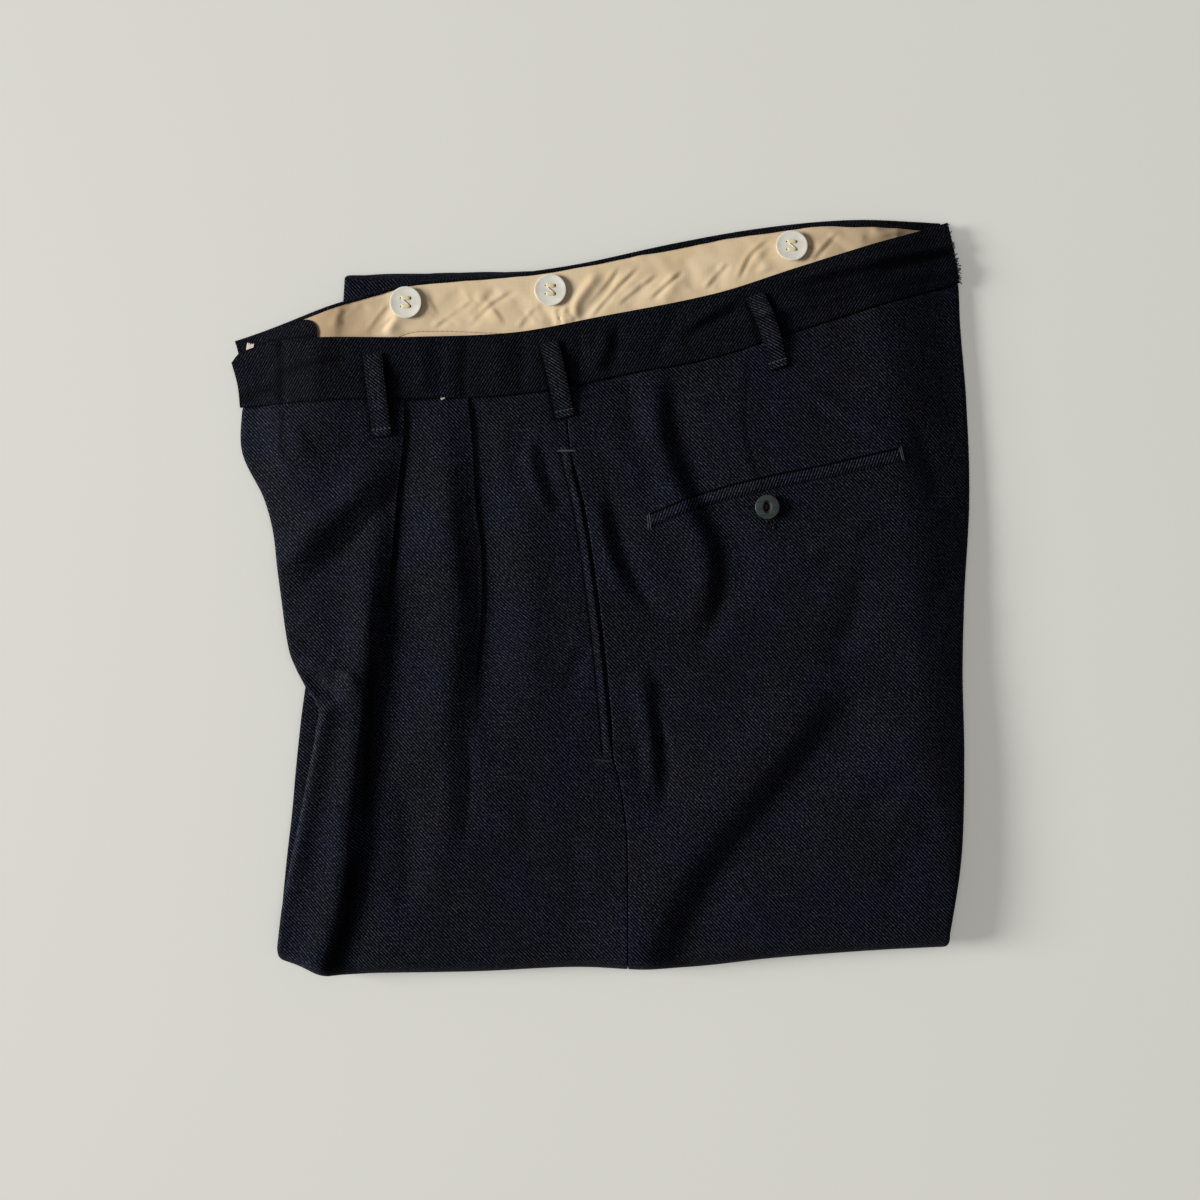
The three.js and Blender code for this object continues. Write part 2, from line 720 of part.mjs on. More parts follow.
// A dished disc with holes through it, standing on z = 0
function button({ diameter, thickness, hole, spacing }, holes, dish) {
  const r = diameter / 2;
  const profile = [
    [0, 0],
    [r * 0.72, 0],
    [r, thickness * 0.45],
    [r, thickness * 0.75],
    [r * 0.9, thickness],
    [r * dish, thickness],
    [r * dish * 0.82, thickness * 0.72],
    [0, thickness * 0.68],
  ].map(([x, y]) => new THREE.Vector2(x, y));
  let solid = manifoldOf(new THREE.LatheGeometry(profile, SEGMENTS).rotateX(Math.PI / 2));
  for (const [dx, dy] of holes) {
    const cutter = new THREE.CylinderGeometry(hole / 2, hole / 2, 4 * thickness, 8).rotateX(Math.PI / 2);
    cutter.translate((dx * spacing) / 2, (dy * spacing) / 2, 0);
    solid = solid.subtract(manifoldOf(cutter));
  }
  const mesh = solid.getMesh();
  return meshOf([...mesh.vertProperties], [...mesh.triVerts]);
}

function manifoldOf(geometry) {
  geometry.deleteAttribute("normal");
  geometry.deleteAttribute("uv");
  const merged = mergeVertices(geometry, 1e-4);
  return new wasm.Manifold(
    new wasm.Mesh({
      numProp: 3,
      vertProperties: new Float32Array(merged.attributes.position.array),
      triVerts: new Uint32Array(merged.index.array),
    }),
  );
}

const FOUR_HOLES = [[1, 1], [1, -1], [-1, 1], [-1, -1]];
const TWO_HOLES = [[0, 1], [0, -1]];
const BRACE_BUTTONS = [
  { x: -110.5, y: 165.5 },
  { x: -29.3, y: 172.5 },
  { x: 106.3, y: 197.2 },
];
const POCKET_BUTTON_AT = { x: 92, y: 50.4 };

// Sets a piece down on a surface, tilted with it, a seam's space above it
function setDown(mesh, { x, y }, surface, radius) {
  const slope = (dx, dy) => (surface(x + dx, y + dy) - surface(x - dx, y - dy)) / (2 * radius);
  const up = new THREE.Vector3(-slope(radius, 0), -slope(0, radius), 1).normalize();
  mesh.quaternion.setFromUnitVectors(new THREE.Vector3(0, 0, 1), up);
  mesh.position.set(x, y, surface(x, y)).addScaledVector(up, 0.5);
  return mesh;
}

// ---------------------------------------------------------------- the garment

const cloth = (color) => new THREE.MeshStandardMaterial({ color, roughness: 0.9, metalness: 0 });
const SUITING = cloth("#15181f");
const SUITING_INSIDE = cloth("#111419");
const LINING = cloth("#d8c8ab");
const WHITE = new THREE.MeshStandardMaterial({ color: "#e9e6df", roughness: 0.35, metalness: 0 });
const SLATE = new THREE.MeshStandardMaterial({ color: "#2b3a3a", roughness: 0.3, metalness: 0 });

function named(name, geometry, material) {
  const mesh = new THREE.Mesh(geometry, material);
  mesh.name = name;
  return mesh;
}

const slacks = new THREE.Group();
slacks.add(
  named("folded_legs", foldedLegs(), SUITING_INSIDE),
  named("right_half", rightHalf(), SUITING_INSIDE),
  named("waistband_right", waistbandRight(), SUITING_INSIDE),
  named("waistband_lining", waistbandLining(), LINING),
  named("fly_extension", flyExtension(), SUITING),
  named("front_left", frontLeft(), SUITING),
  named("back_left", backLeft(), SUITING),
  named("waistband_left", waistbandLeft(), SUITING),
  named("side_pocket_facing", sidePocketFacing(), SUITING_INSIDE),
  named("back_pocket_welt", backPocketWelt(), SUITING),
);

for (const [name, loop] of Object.entries(LOOPS)) slacks.add(named(name, beltLoop(loop), SUITING));

const liningSurface = (x, y) => stackRise(x, y) + LEVEL.liningTop;
BRACE_BUTTONS.forEach((place, i) => {
  const mesh = named(`brace_button_${i + 1}`, button(BRACE_BUTTON, FOUR_HOLES, 0.74), WHITE);
  slacks.add(setDown(mesh, place, liningSurface, BRACE_BUTTON.diameter / 2));
});
const pocketButton = named("back_pocket_button", button(POCKET_BUTTON, TWO_HOLES, 0.7), SLATE);
slacks.add(setDown(pocketButton, POCKET_BUTTON_AT, panelInside, POCKET_BUTTON.diameter / 2));
slacks.position.set(-MIDDLE.x, -MIDDLE.y, 0);

export default slacks;
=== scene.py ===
"""Slacks folded flat: cloth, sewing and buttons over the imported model, and the table they lie on.

Shapes are worked out in millimetres, +X to the wearer's back, +Y to the waist and +Z up, and go
into Blender in metres.
"""

import math

import bpy
import numpy as np
from bpy.props import FloatProperty, FloatVectorProperty, PointerProperty
from mathutils import Matrix, Vector


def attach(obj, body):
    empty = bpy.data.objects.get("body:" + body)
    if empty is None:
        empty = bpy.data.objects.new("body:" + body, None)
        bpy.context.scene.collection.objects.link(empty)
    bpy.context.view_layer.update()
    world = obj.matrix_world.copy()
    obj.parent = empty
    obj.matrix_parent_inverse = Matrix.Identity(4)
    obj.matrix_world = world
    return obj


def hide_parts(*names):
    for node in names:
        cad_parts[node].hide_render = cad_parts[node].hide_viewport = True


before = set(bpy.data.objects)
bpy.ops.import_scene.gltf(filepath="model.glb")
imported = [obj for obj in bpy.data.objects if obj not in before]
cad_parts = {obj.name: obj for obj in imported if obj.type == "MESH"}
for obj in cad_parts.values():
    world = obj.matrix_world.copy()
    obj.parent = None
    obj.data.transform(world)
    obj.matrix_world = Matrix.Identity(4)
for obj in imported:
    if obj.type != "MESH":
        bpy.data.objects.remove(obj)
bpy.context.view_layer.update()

bl_info = {
    "name": "Folded slacks",
    "version": (1, 0, 0),
    "blender": (4, 5, 0),
    "location": "View3D > Sidebar > Slacks",
    "description": "Makes slacks folded flat, with their cloth, sewing and buttons",
    "category": "Add Mesh",
}

MM = 0.001
MIDDLE = np.array([-1.45, 0.45, 0.0])  # the frame's origin in the coordinates below

# ---------------------------------------------------------------- sizes

CLOTH = 1.0  # wall of one layer of suiting
SEAM = 0.3  # space between two pieces that are sewn together
BAND_HEIGHT = 35.0
BAND_LENGTH = 405  # about, for the spacing of its columns
STACK = 13.0  # height of the two folded legs
DROOP = 60.0  # way in which the seat comes down to the table beside the legs
BULGE = 9.0  # how far the bottom fold rounds out, seen from above
TUCK = 45.0  # length of the upper layer that shows under the legs
DEEPEST = 3.4  # no trough goes further than this into a panel

# Heights of the layers above the folded legs
RIGHT_UNDER, RIGHT_TOP = 0.6, 2.5
LINING_UNDER, LINING_TOP = 2.8, 3.6
FACING_UNDER, FACING_TOP = 4.1, 4.9
BAND_UNDER, BAND_TOP = 6.1, 7.7
PANEL_TOP = 7.2

DOME, DOME_REACH = 1.2, 28.0  # a panel's wide fall towards its outer edge
RIGHT_INSET = 4.6  # the right side stops this far inside the left side's turned edges
BAND_INSET = 3.4
BAND_LIP = 1.8  # width of the right waistband's cloth that shows above its lining

POCKET_TOP, POCKET_BOTTOM, SLIT, FACING_WIDTH, HEM = 80.0, -86.0, 2.0, 16.0, 5.8
HEM_RAISED = 0.5
STITCHED_IN = 0.4  # the hem's stitches, in from its inner edge
STITCH_GAP = 0.7
RUST_SPOT = (117.2, 196.8)  # on the lining
HILLS = 97  # random hills each way, before they repeat
MEETING_STEPS = 14  # rounds in which crossing curves settle on where they meet
WELT_HEIGHT, WELT_MOUTH, WELT_SEAM = 6.2, 1.5, 0.9

# ---------------------------------------------------------------- outlines, as (x, y)

FRONT_EDGE = [
    (-205.5, 110), (-205.5, 83), (-192.5, 57.5), (-186, 35), (-181.5, 1), (-176, -32),
    (-169, -48), (-160, -62), (-161, -75), (-171.5, -130), (-180, -172), (-184, -205),
]
BACK_EDGE = [
    (196, 214), (200.5, 194), (203, 178.5), (204, 156), (207.6, 110), (209, 57),
    (205.5, 1), (204, -44), (204.5, -88), (202.5, -145), (194, -198),
]
SIDE_SEAM = [
    (-21, 117), (-18, 82), (-10, 46), (-0.7, -20), (4.2, -70), (5.8, -89), (9.6, -104), (13.5, -133),
    (14.3, -207),
]
WAIST_SEAM = [
    (-205.5, 107.5), (-146, 110.5), (-75, 111.5), (-30, 115.5), (15, 125), (62, 134),
    (108, 148.5), (150, 162), (203, 178.5),
]
LEFT_BAND_TOP = [
    (-211.2, 133), (-206, 139), (-182, 145), (-105, 146), (-49, 148.5), (-4, 156.8),
    (63, 170.2), (108, 184.5), (152, 198.5), (196, 213),
]
LEFT_BAND_FRONT = [(-211.2, 134), (-207.5, 120.5), (-206, 107.5)]
RIGHT_BAND_TOP = [
    (-210, 146.3), (-179, 155.8), (-147, 166.3), (-105, 177.7), (-60, 181.2), (-15, 187.4),
    (41, 199.8), (86, 208.2), (131, 213.2), (177, 213.8), (197, 213.4),
]
RIGHT_FRONT_END = [(-210, 146.5), (-205.5, 127), (-204, 102), (-204, 83)]
BOTTOM_FOLD = [
    (-184, -205), (-171, -209), (-156, -213.8), (-127, -212.6), (-70, -211.5), (-15, -209),
    (41, -210), (97, -204), (164, -199), (194, -198.5),
]
WELT_LINE = [(25, 42), (55, 54), (87, 62.5), (128, 71), (168, 80)]

# Each pleat: height, reach to the front, where it is full and where it is gone, and its edge
PLEATS = [
    (1.8, 24, 20, -60, [
        (-111, 109), (-111.5, 89), (-115, 58), (-119.3, 9), (-127, -61), (-133, -118),
        (-140, -177), (-153, -207),
    ]),
    (1.6, 22, 0, -75, [
        (-75, 110), (-73, 89), (-71, 54), (-67.8, 25), (-67.8, -18), (-69.5, -62), (-72, -207),
    ]),
]

# Soft folds: height (a trough is negative), reach behind the line and in front of it, the line,
# from the waist down, and True where the fold doesn't fade out at the line's end
FOLDS = [
    (-3.6, 13, 6, [(-108, 122), (-110, 92), (-113.5, 52), (-119, -3), (-124.5, -61), (-129, -105)]),
    (-3.8, 12, 8.5, [
        (-119, -20), (-124.5, -80), (-128, -113), (-132, -148), (-138, -178), (-148, -207),
    ], True),
    (5.4, 7.5, 11.5, [(-126, 24), (-131, -30), (-137, -80), (-142, -118), (-146, -150)]),
    (5.2, 6.5, 12, [(-140, -122), (-144, -150), (-149, -178), (-157, -207)], True),
    (2.4, 7, 12, [(-124, 84), (-127, 40), (-131, 0), (-136, -40)]),
    (1.6, 13, 14, [(-156, 30), (-158, -45), (-160, -90), (-164, -150)]),
    (3.6, 9, 13, [(-91, 112), (-87, 60), (-83, 10), (-84, -30), (-88, -70), (-93, -116)]),
    (-3.8, 15, 8.5, [(-72, 128), (-71, 92), (-68.5, 50), (-66, 10), (-66, -40), (-68, -92)]),
    (1.8, 12, 14, [(-45, 80), (-42, 0), (-40, -80)]),
    (-3.4, 11, 6, [(-110, 66), (-131, 42), (-150, 22), (-184, -8)]),
    (4.2, 7, 10, [(-120, 78), (-144, 52), (-164, 32), (-192, 8)]),
    (1.9, 12, 12, [(-165, 92), (-186, 76)]),
    (-2.9, 6, 5, [(-180, -32), (-168, -46), (-154, -49)]),
    (-1.6, 7, 7, [(13, 128), (16, 110), (23, 90)]),
    (-3.6, 13, 6, [(44, 142), (40, 116), (43, 88), (55, 58), (68, 30), (68, 2), (60, -20), (42, -48)]),
    (2.8, 6, 10, [(34, 138), (30, 112), (33, 84), (45, 54), (57, 26), (57, 0), (46, -24)]),
    (-3.9, 19, 10, [(150, -44), (130, -76), (92, -124), (64, -160), (42, -207)], True),
    (4.2, 11, 22, [(132, -36), (110, -70), (73, -116), (45, -152), (22, -200)], True),
    (1.2, 30, 20, [(176, -60), (150, -112), (116, -160)]),
    (-2.8, 8, 4, [(3, 70), (6.5, 46), (12, 24), (21, 4), (36, -18)]),
    (1.7, 4, 5, [(-4, 58), (-0.5, 38), (5, 18), (14, -2)]),
    (-2.8, 6, 4.5, [(28, -36), (34, -80), (36, -126)]),
    (2.0, 4, 6, [(20, -36), (26, -70), (28, -112)]),
    (-2.2, 7, 5, [(174, 102), (184, 76), (190, 48)]),
    (-2.4, 10, 7, [(148, 22), (141, -12), (127, -42)]),
    (-2.8, 8, 7, [(-112, -100), (-109, -140), (-112, -182)]),
]

# Where the deepest creases lie in their own shade: strength, reach to both sides, and the line
CREASE_SHADE = [
    (0.7, 1.3, 1.3, [(-181.6, 116), (-181.3, 96), (-179, 70)]),
    (0.8, 3.2, 3.2, [(-128, -22), (-129.5, -46), (-131, -78), (-132.5, -112), (-135, -136)]),
    (0.9, 3.6, 5, [(-137, -136), (-140, -156), (-143.5, -182), (-153, -211)], True),
    (0.45, 2, 5, [(-110, 100), (-113, 60), (-118, 10), (-124, -40)]),
    (0.4, 2, 6, [(-72, 60), (-70, 20), (-70, -20), (-71, -62)]),
]

BACK_SHADE = [
    (0.15, 3, 5, [(38, 120), (40, 92), (50, 62), (60, 40)]),
    (0.3, 3, 5, [(62, 44), (66, 22), (65, 0), (58, -18)]),
    (0.3, 4, 6, [(124, -70), (94, -112), (66, -148), (42, -192)], True),
]

# Small creases and swells that lie on the folds
CREASES = [
    (-1.1, 6, 3.5, [(-80, 56), (-78, 28), (-74, -4)]),
    (1.4, 3, 4, [(-42, 90), (-38, 66), (-28, 44)]),
    (-1.5, 4, 2.5, [(-35, 92), (-31, 70), (-21, 46)]),
    (-0.9, 4, 2, [(-19, -56), (-13, -38), (-6, -28)]),
    (0.6, 3, 3, [(-24, -44), (-17, -28), (-10, -18)]),
    (1.2, 3.5, 3, [(25, -42), (32, -61), (42, -88)]),
    (1.2, 8, 12, [(80, 8), (64, -38), (44, -52)]),
    (1.2, 5, 4.5, [(105, 125), (133, 106), (162, 95)]),
    (-0.8, 4, 4, [(110, 112), (135, 96), (157, 88)]),
    (0.8, 4, 4, [(150, 134), (168, 120), (184, 110)]),
    (-0.8, 5, 5, [(-42, -102), (-41, -122), (-44, -144)]),
    (2.3, 7, 3.2, [(-150, -52), (-155, -66), (-158, -80), (-163, -106), (-171, -146), (-178, -176)]),
    (1.9, 9, 3, [(-134, -36), (-142, -46), (-149, -57), (-155, -66), (-158, -78)]),
    (1.5, 3, 3.5, [(-172, -40), (-160, -38), (-148, -40), (-140, -46), (-136, -54)]),
    (-3.0, 4.5, 4, [(-172, -42), (-163, -47), (-156, -51), (-150, -56), (-148, -60)]),
    (-0.9, 5, 3, [(-178, 70), (-160, 60), (-143, 62)]),
    (0.9, 5, 4, [(-184, 30), (-168, 36), (-150, 52)]),
    (-0.9, 6, 4, [(-174, -18), (-160, -30), (-150, -34)]),
    (0.9, 6, 6, [(0, 96), (12, 78), (26, 66)]),
    (-0.8, 5, 4, [(10, 108), (22, 88), (34, 76)]),
    (-0.9, 6, 5, [(72, 44), (80, 22), (79, -4)]),
    (0.8, 7, 7, [(150, 52), (140, 30), (134, 8)]),
    (-0.7, 7, 5, [(196, 20), (186, -6), (182, -40)]),
    (-1.2, 7, 4, [(176, -96), (158, -112), (140, -120)]),
    (-1.0, 5, 4, [(116, 14), (134, 24), (152, 30)]),
    (1.0, 5, 4, [(112, 22), (130, 32), (150, 38)]),
    (-1.3, 4, 3.5, [(18, -76), (22, -92), (20, -110)]),
    (-1.1, 5, 3, [(-76, -70), (-74, -100), (-77, -140)]),
    (1.0, 5, 5, [(-88, -84), (-86, -118), (-88, -150)]),
    (0.7, 8, 8, [(176, -60), (170, -100), (160, -140)]),
    (-0.9, 9, 6, [(190, -110), (178, -140), (152, -168)]),
    (0.7, 6, 6, [(64, -150), (84, -172), (96, -196)]),
    (-0.6, 5, 5, [(-20, -120), (-14, -150), (-16, -184)]),
    (0.6, 7, 7, [(-86, -90), (-90, -130), (-96, -170)]),
    (-0.8, 6, 4, [(-100, 96), (-97, 70), (-96, 44)]),
    (0.6, 4, 4, [(-58, 104), (-56, 84), (-54, 60)]),
    (-0.5, 4, 3, [(-44, 104), (-43, 92), (-45, 78)]),
    (0.5, 5, 5, [(-172, 100), (-168, 88), (-170, 74)]),
    (-0.5, 5, 4, [(-146, 106), (-142, 92), (-146, 76)]),
    (-0.5, 4, 3, [(56, 128), (60, 112), (66, 98)]),
    (0.5, 5, 5, [(118, 146), (124, 134), (136, 124)]),
]
BAND_FOLDS = [
    (-1.8, 2.2, 1.6, [(98, 170), (122, 177.5), (146, 183), (170, 189.5), (208, 197)]),
    (1.7, 3, 2.4, [(104, 176.5), (128, 183), (160, 190.5), (206, 201)], True),
    (1.6, 3, 2.6, [(60, 150), (100, 160.5), (140, 171), (176, 181), (210, 188)], True),
    (-1.6, 2.2, 1.5, [(150, 181.5), (170, 187.5), (188, 193), (206, 197)]),
    (-1.3, 2.4, 2, [(110, 167), (126, 170.5), (146, 175.5), (168, 182)]),
    (-2.0, 2.2, 1.4, [(44, 143), (54, 151), (68, 158.5), (80, 165.5)]),
    (1.4, 3, 2.2, [(46, 148), (55, 156), (68, 163), (78, 168.5)]),
    (-1.4, 2.6, 2, [(2, 124), (7, 138), (8, 156)]),
    (1.2, 4, 3.4, [(-7, 124), (0, 138), (3, 152)]),
    (-1.2, 3, 2, [(-16, 122), (-13, 134), (-12, 150)]),
    (-1.0, 3, 2.4, [(28, 132), (37, 148), (42, 164)]),
    (0.8, 6, 6, [(-60, 114), (-58, 130), (-60, 148)]),
    (-1.0, 4, 3, [(-92, 110), (-90, 128), (-94, 148)]),
    (0.8, 5, 4, [(-102, 112), (-100, 128), (-102, 146)]),
    (-0.9, 3, 2.4, [(-46, 112), (-44, 130), (-47, 150)]),
    (0.7, 6, 5, [(-160, 110), (-162, 128), (-158, 146)]),
    (-1.0, 3, 2.5, [(-196, 118), (-190, 128), (-184, 132), (-176, 133)]),
    (-1.5, 1.5, 1.5, [(-180, 104), (-181, 124), (-181.5, 150)], True),
    (-1.4, 2.4, 2, [(-208, 111), (-199, 114), (-189, 118), (-176, 122)]),
    (-1.4, 2.4, 2, [(-186, 125), (-172, 129), (-154, 133), (-138, 134)]),
    (-1.3, 2.5, 2, [(-77, 106), (-78, 126), (-76, 152)]),
]
CURTAIN_SEAM = [(-118, 144.6), (-107, 148.6), (-89, 149.3), (-66, 148.4), (-40, 147.2)]
LINING_FOLDS = [
    (-0.8, 2.2, 1.6, [(-121, 161), (-126, 154), (-131, 146)]),
    (0.7, 3, 3, [(-114, 163), (-118, 155), (-122, 146)]),
    (-0.8, 2, 2.5, [(-147, 153), (-144, 160), (-139, 165)]),
    (0.5, 2.5, 2.5, [(-152, 150), (-149, 158), (-146, 163)]),
    (-0.7, 1.6, 2.4, [(-36, 165), (-31, 159), (-26, 151)]),
    (0.6, 2.4, 2, [(-24, 163), (-22, 156), (-21.5, 150)]),
    (0.9, 3, 2.6, [(-1, 184), (-9, 174), (-15, 165), (-16, 154)]),
    (-0.9, 2, 2.6, [(6, 178), (0, 170), (-8, 163), (-13, 153)]),
    (-0.5, 2.4, 2.4, [(24, 178), (20, 170), (14, 162)]),
    (0.5, 4, 4, [(40, 184), (38, 174), (32, 164)]),
    (-0.4, 3, 3, [(62, 188), (66, 180), (64, 172)]),
    (0.5, 4, 4, [(84, 196), (90, 188), (92, 182)]),
    (-0.7, 2, 3, [(146, 204), (156, 201), (168, 205)]),
    (0.6, 2.5, 2.5, [(150, 209), (160, 206), (172, 209)]),
    (-0.6, 1.6, 2.2, [(166, 203), (174, 206), (184, 211)]),
    (-0.4, 3, 3, [(-88, 170), (-80, 160), (-70, 152)]),
    (0.45, 4, 4, [(-72, 172), (-64, 162), (-56, 152)]),
    (-0.35, 3, 4, [(-100, 152), (-92, 160), (-86, 168)]),
    (0.35, 3, 3, [(118, 198), (126, 200), (136, 208)]),
    (-0.5, 0.9, 0.9, CURTAIN_SEAM),
    (-0.9, 3, 2, [(-133, 166), (-139, 156), (-150, 146)]),
    (0.6, 4, 4, [(-104, 168), (-112, 158), (-122, 147)]),
    (-0.5, 3, 2.5, [(-78, 176), (-84, 166), (-95, 154)]),
    (-0.45, 2.5, 2, [(-58, 176), (-66, 166), (-74, 156)]),
    (-0.5, 2.5, 2, [(-50, 168), (-44, 160), (-40, 152)]),
    (-0.5, 3, 2.5, [(44, 192), (50, 182), (50, 172)]),
    (-0.45, 3, 2.5, [(96, 200), (92, 192), (82, 180)]),
    (-0.5, 2.5, 2.5, [(124, 206), (134, 198), (140, 192)]),
]

LINING_CREASES = [
    [(-132, 147), (-124.4, 157), (-118.8, 165)], [(-126.6, 149), (-116.5, 158)],
    [(-147, 152.6), (-135.6, 162.7)], [(-95, 150), (-84, 158), (-70.4, 167)],
    [(-79.4, 174), (-70.4, 166), (-61.4, 162.7), (-52.3, 151.4)],
    [(-75, 151), (-63.6, 162.7), (-47.8, 172.8)], [(-63.6, 177), (-43.3, 162.7), (-34.3, 154.8)],
    [(-46.7, 150), (-36.6, 162.7)], [(-25.3, 162.7), (-23, 151)], [(-20.8, 162.7), (-14, 153.7)],
    [(-11.8, 157), (1.7, 172.8), (10.7, 186)], [(-7.3, 154.8), (8.4, 172.8), (22, 186)],
    [(8.4, 162.7), (33, 182)], [(26.4, 166), (46.7, 184)], [(58, 172), (72, 188)],
    [(76, 176), (84, 192), (96, 202)], [(118, 188), (134, 206)], [(-100, 172), (-92, 160), (-80, 152)],
]
LINING_FOLDS += [(-0.55, 1.7, 1.0, line) for line in LINING_CREASES]
LINING_FOLDS += [(0.4, 1.6, 1.6, [(x - 1.6, y + 1.2) for x, y in line]) for line in LINING_CREASES]

# The stack of folded legs from above, and how far each of its four layers stops short of that
# outline at the front, at the back and at the bottom fold, lowest layer first
LEG_CORNERS = [(-147, 180.4), (-185.3, -202), (193, -194), (146, 187.5)]
LEG_LAYERS = [(2.2, 4.5, 54), (0.6, 3, 4), (3, 5.5, 4), (0.8, 3.6, 4)]
LEG_CORNER, CORNER_POINTS, SIDE_POINTS = 1.5, 9, 90  # rounding, and the points of a ring

# Each belt loop: width, top and bottom
LOOPS = {
    "belt_loop_front": (11.3, (-128.5, 136), (-123, 90)),
    "belt_loop_side": (11.0, (-29.8, 142.5), (-20.7, 100.5)),
    "belt_loop_back": (11.2, (85.2, 168.8), (98.6, 128)),
}
LOOP_BOW = {"belt_loop_front": 0.0, "belt_loop_side": 0.3, "belt_loop_back": 1.4}
LOOP_THICKNESS, LOOP_GAP, LOOP_SEAT = 1.3, 2.0, 0.5
LOOP_ROW_IN, LOOP_END_UP = 1.9, 4  # stitches: in from the sides, and up from the lower end

BRACE_BUTTONS = [(-110.5, 165.5), (-29.3, 172.5), (106.3, 197.2)]
BRACE_BUTTON_SIZE, BRACE_BUTTON_HOLE, BRACE_BUTTON_SPACING = (18.3, 2.1), 1.8, 4.6
POCKET_BUTTON, BUTTONHOLE = (92, 50.4), (93.9, 40.6)
POCKET_BUTTON_SIZE, POCKET_BUTTON_HOLE, POCKET_BUTTON_SPACING = (14.0, 2.6), 1.5, 3.2


# ---------------------------------------------------------------- curves and heights


def mix(a, b, t):
    return a + (b - a) * t


def smooth(value, low, high):
    t = np.clip((value - low) / (high - low), 0, 1)
    return t * t * (3 - 2 * t)


def bell(value, middle, reach):
    """A soft peak of 1 at a value, which fades out to both sides."""
    return np.exp(-(((value - middle) / reach) ** 2))


class Line:
    """A smooth line through rows of (x, y): one of the two as a function of the other."""

    def __init__(self, rows, along):
        known = "xy".index(along)
        rows = np.array(sorted(rows, key=lambda row: row[known]), float)
        self.at, self.to = rows[:, known], rows[:, 1 - known]
        before = np.maximum(np.arange(len(rows)) - 1, 0)
        after = np.minimum(np.arange(len(rows)) + 1, len(rows) - 1)
        self.slope = (self.to[after] - self.to[before]) / (self.at[after] - self.at[before])

    def __call__(self, value):
        value = np.clip(value, self.at[0], self.at[-1])
        i = np.clip(np.searchsorted(self.at, value, side="right") - 1, 0, len(self.at) - 2)
        step = self.at[i + 1] - self.at[i]
        t = (value - self.at[i]) / step
        rise = self.to[i + 1] - self.to[i]
        start = self.slope[i] * step - rise
        end = rise - self.slope[i + 1] * step
        return self.to[i] + rise * t + t * (1 - t) * (start * (1 - t) + end * t)


front_edge = Line(FRONT_EDGE, "y")
back_edge = Line(BACK_EDGE, "y")
side_seam = Line(SIDE_SEAM, "y")
waist_seam = Line(WAIST_SEAM, "x")
left_band_top = Line(LEFT_BAND_TOP, "x")
left_band_front = Line(LEFT_BAND_FRONT, "y")
right_band_top = Line(RIGHT_BAND_TOP, "x")
right_front_end = Line(RIGHT_FRONT_END, "y")
bottom_fold = Line(BOTTOM_FOLD, "x")
welt_middle = Line(WELT_LINE, "x")
pleat_edges = [Line(pleat[-1], "y") for pleat in PLEATS]


def softened(points, steps=5):
    """The path through the points, with its corners rounded."""
    p = np.array(points, float)
    p = np.vstack([2 * p[0] - p[1], p, 2 * p[-1] - p[-2]])
    t = np.linspace(0, 1, steps, endpoint=False)[:, None]
    parts = [
        0.5 * (2 * b + (c - a) * t + (2 * a - 5 * b + 4 * c - d) * t**2 + (3 * b - a - 3 * c + d) * t**3)
        for a, b, c, d in zip(p, p[1:], p[2:], p[3:])
    ]
    return np.vstack([*parts, p[-2]])


def way_along(path):
    """Length of a path up to each of its points."""
    return np.concatenate([[0], np.cumsum(np.linalg.norm(np.diff(path, axis=0), axis=1))])


def beside_path(path, x, y):
    """Distance of points to a path, positive on its left, and the share of the path before them."""
    best = np.full(x.shape, 1e6)
    share = np.zeros(x.shape)
    for i, (a, b) in enumerate(zip(path, path[1:])):
        dx, dy = b - a
        t = np.clip(((x - a[0]) * dx + (y - a[1]) * dy) / (dx * dx + dy * dy), 0, 1)
        ex, ey = x - a[0] - t * dx, y - a[1] - t * dy
        distance = np.hypot(ex, ey)
        nearer = distance < np.abs(best)
        best = np.where(nearer, np.where(dx * ey - dy * ex < 0, -distance, distance), best)
        share = np.where(nearer, (i + t) / (len(path) - 1), share)
    return best, share


def folds(table, x, y):
    """Height of a table's folds at points: ridges are round, and troughs have a sharp foot."""
    x, y = np.broadcast_arrays(np.asarray(x, float), np.asarray(y, float))
    rise = np.zeros(x.shape)
    for height, behind, before, points, *runs_on in table:
        path = softened(points)
        far = 3.6 * max(behind, before)
        low, high = path.min(0) - far, path.max(0) + far
        near = (x > low[0]) & (x < high[0]) & (y > low[1]) & (y < high[1])
        if not near.any():
            continue
        distance, share = beside_path(path, x[near], y[near])
        reach = np.where(distance > 0, behind, before)
        ends = smooth(share, 0, 0.25) * (1 if runs_on else 1 - smooth(share, 0.75, 1))
        if height > 0:
            profile = bell(distance, 0, reach)
        else:
            foot = min(1.5, 0.22 * min(behind, before))
            profile = np.exp(-(((np.hypot(distance, foot) - foot) / reach) ** 1.2))
        rise[near] += height * ends * profile
    return rise


def waves(x, y, size, seed):
    """Soft random hills about a size apart, from -1 to 1."""
    hills = np.random.default_rng(seed).uniform(-1, 1, (HILLS, HILLS))
    u, v = np.broadcast_arrays(np.asarray(x) / size + 40.3, np.asarray(y) / size + 40.7)
    i, j = np.floor(u).astype(int), np.floor(v).astype(int)
    s, t = smooth(u - i, 0, 1), smooth(v - j, 0, 1)

    def hill(a, b):
        return hills[(i + a) % HILLS, (j + b) % HILLS]

    return mix(mix(hill(0, 0), hill(1, 0), s), mix(hill(0, 1), hill(1, 1), s), t)


def outside(start, end, x, y):
    """How far points lie outside the line from start to end."""
    length = math.hypot(end[0] - start[0], end[1] - start[1])
    return ((end[1] - start[1]) * (x - start[0]) - (end[0] - start[0]) * (y - start[1])) / length


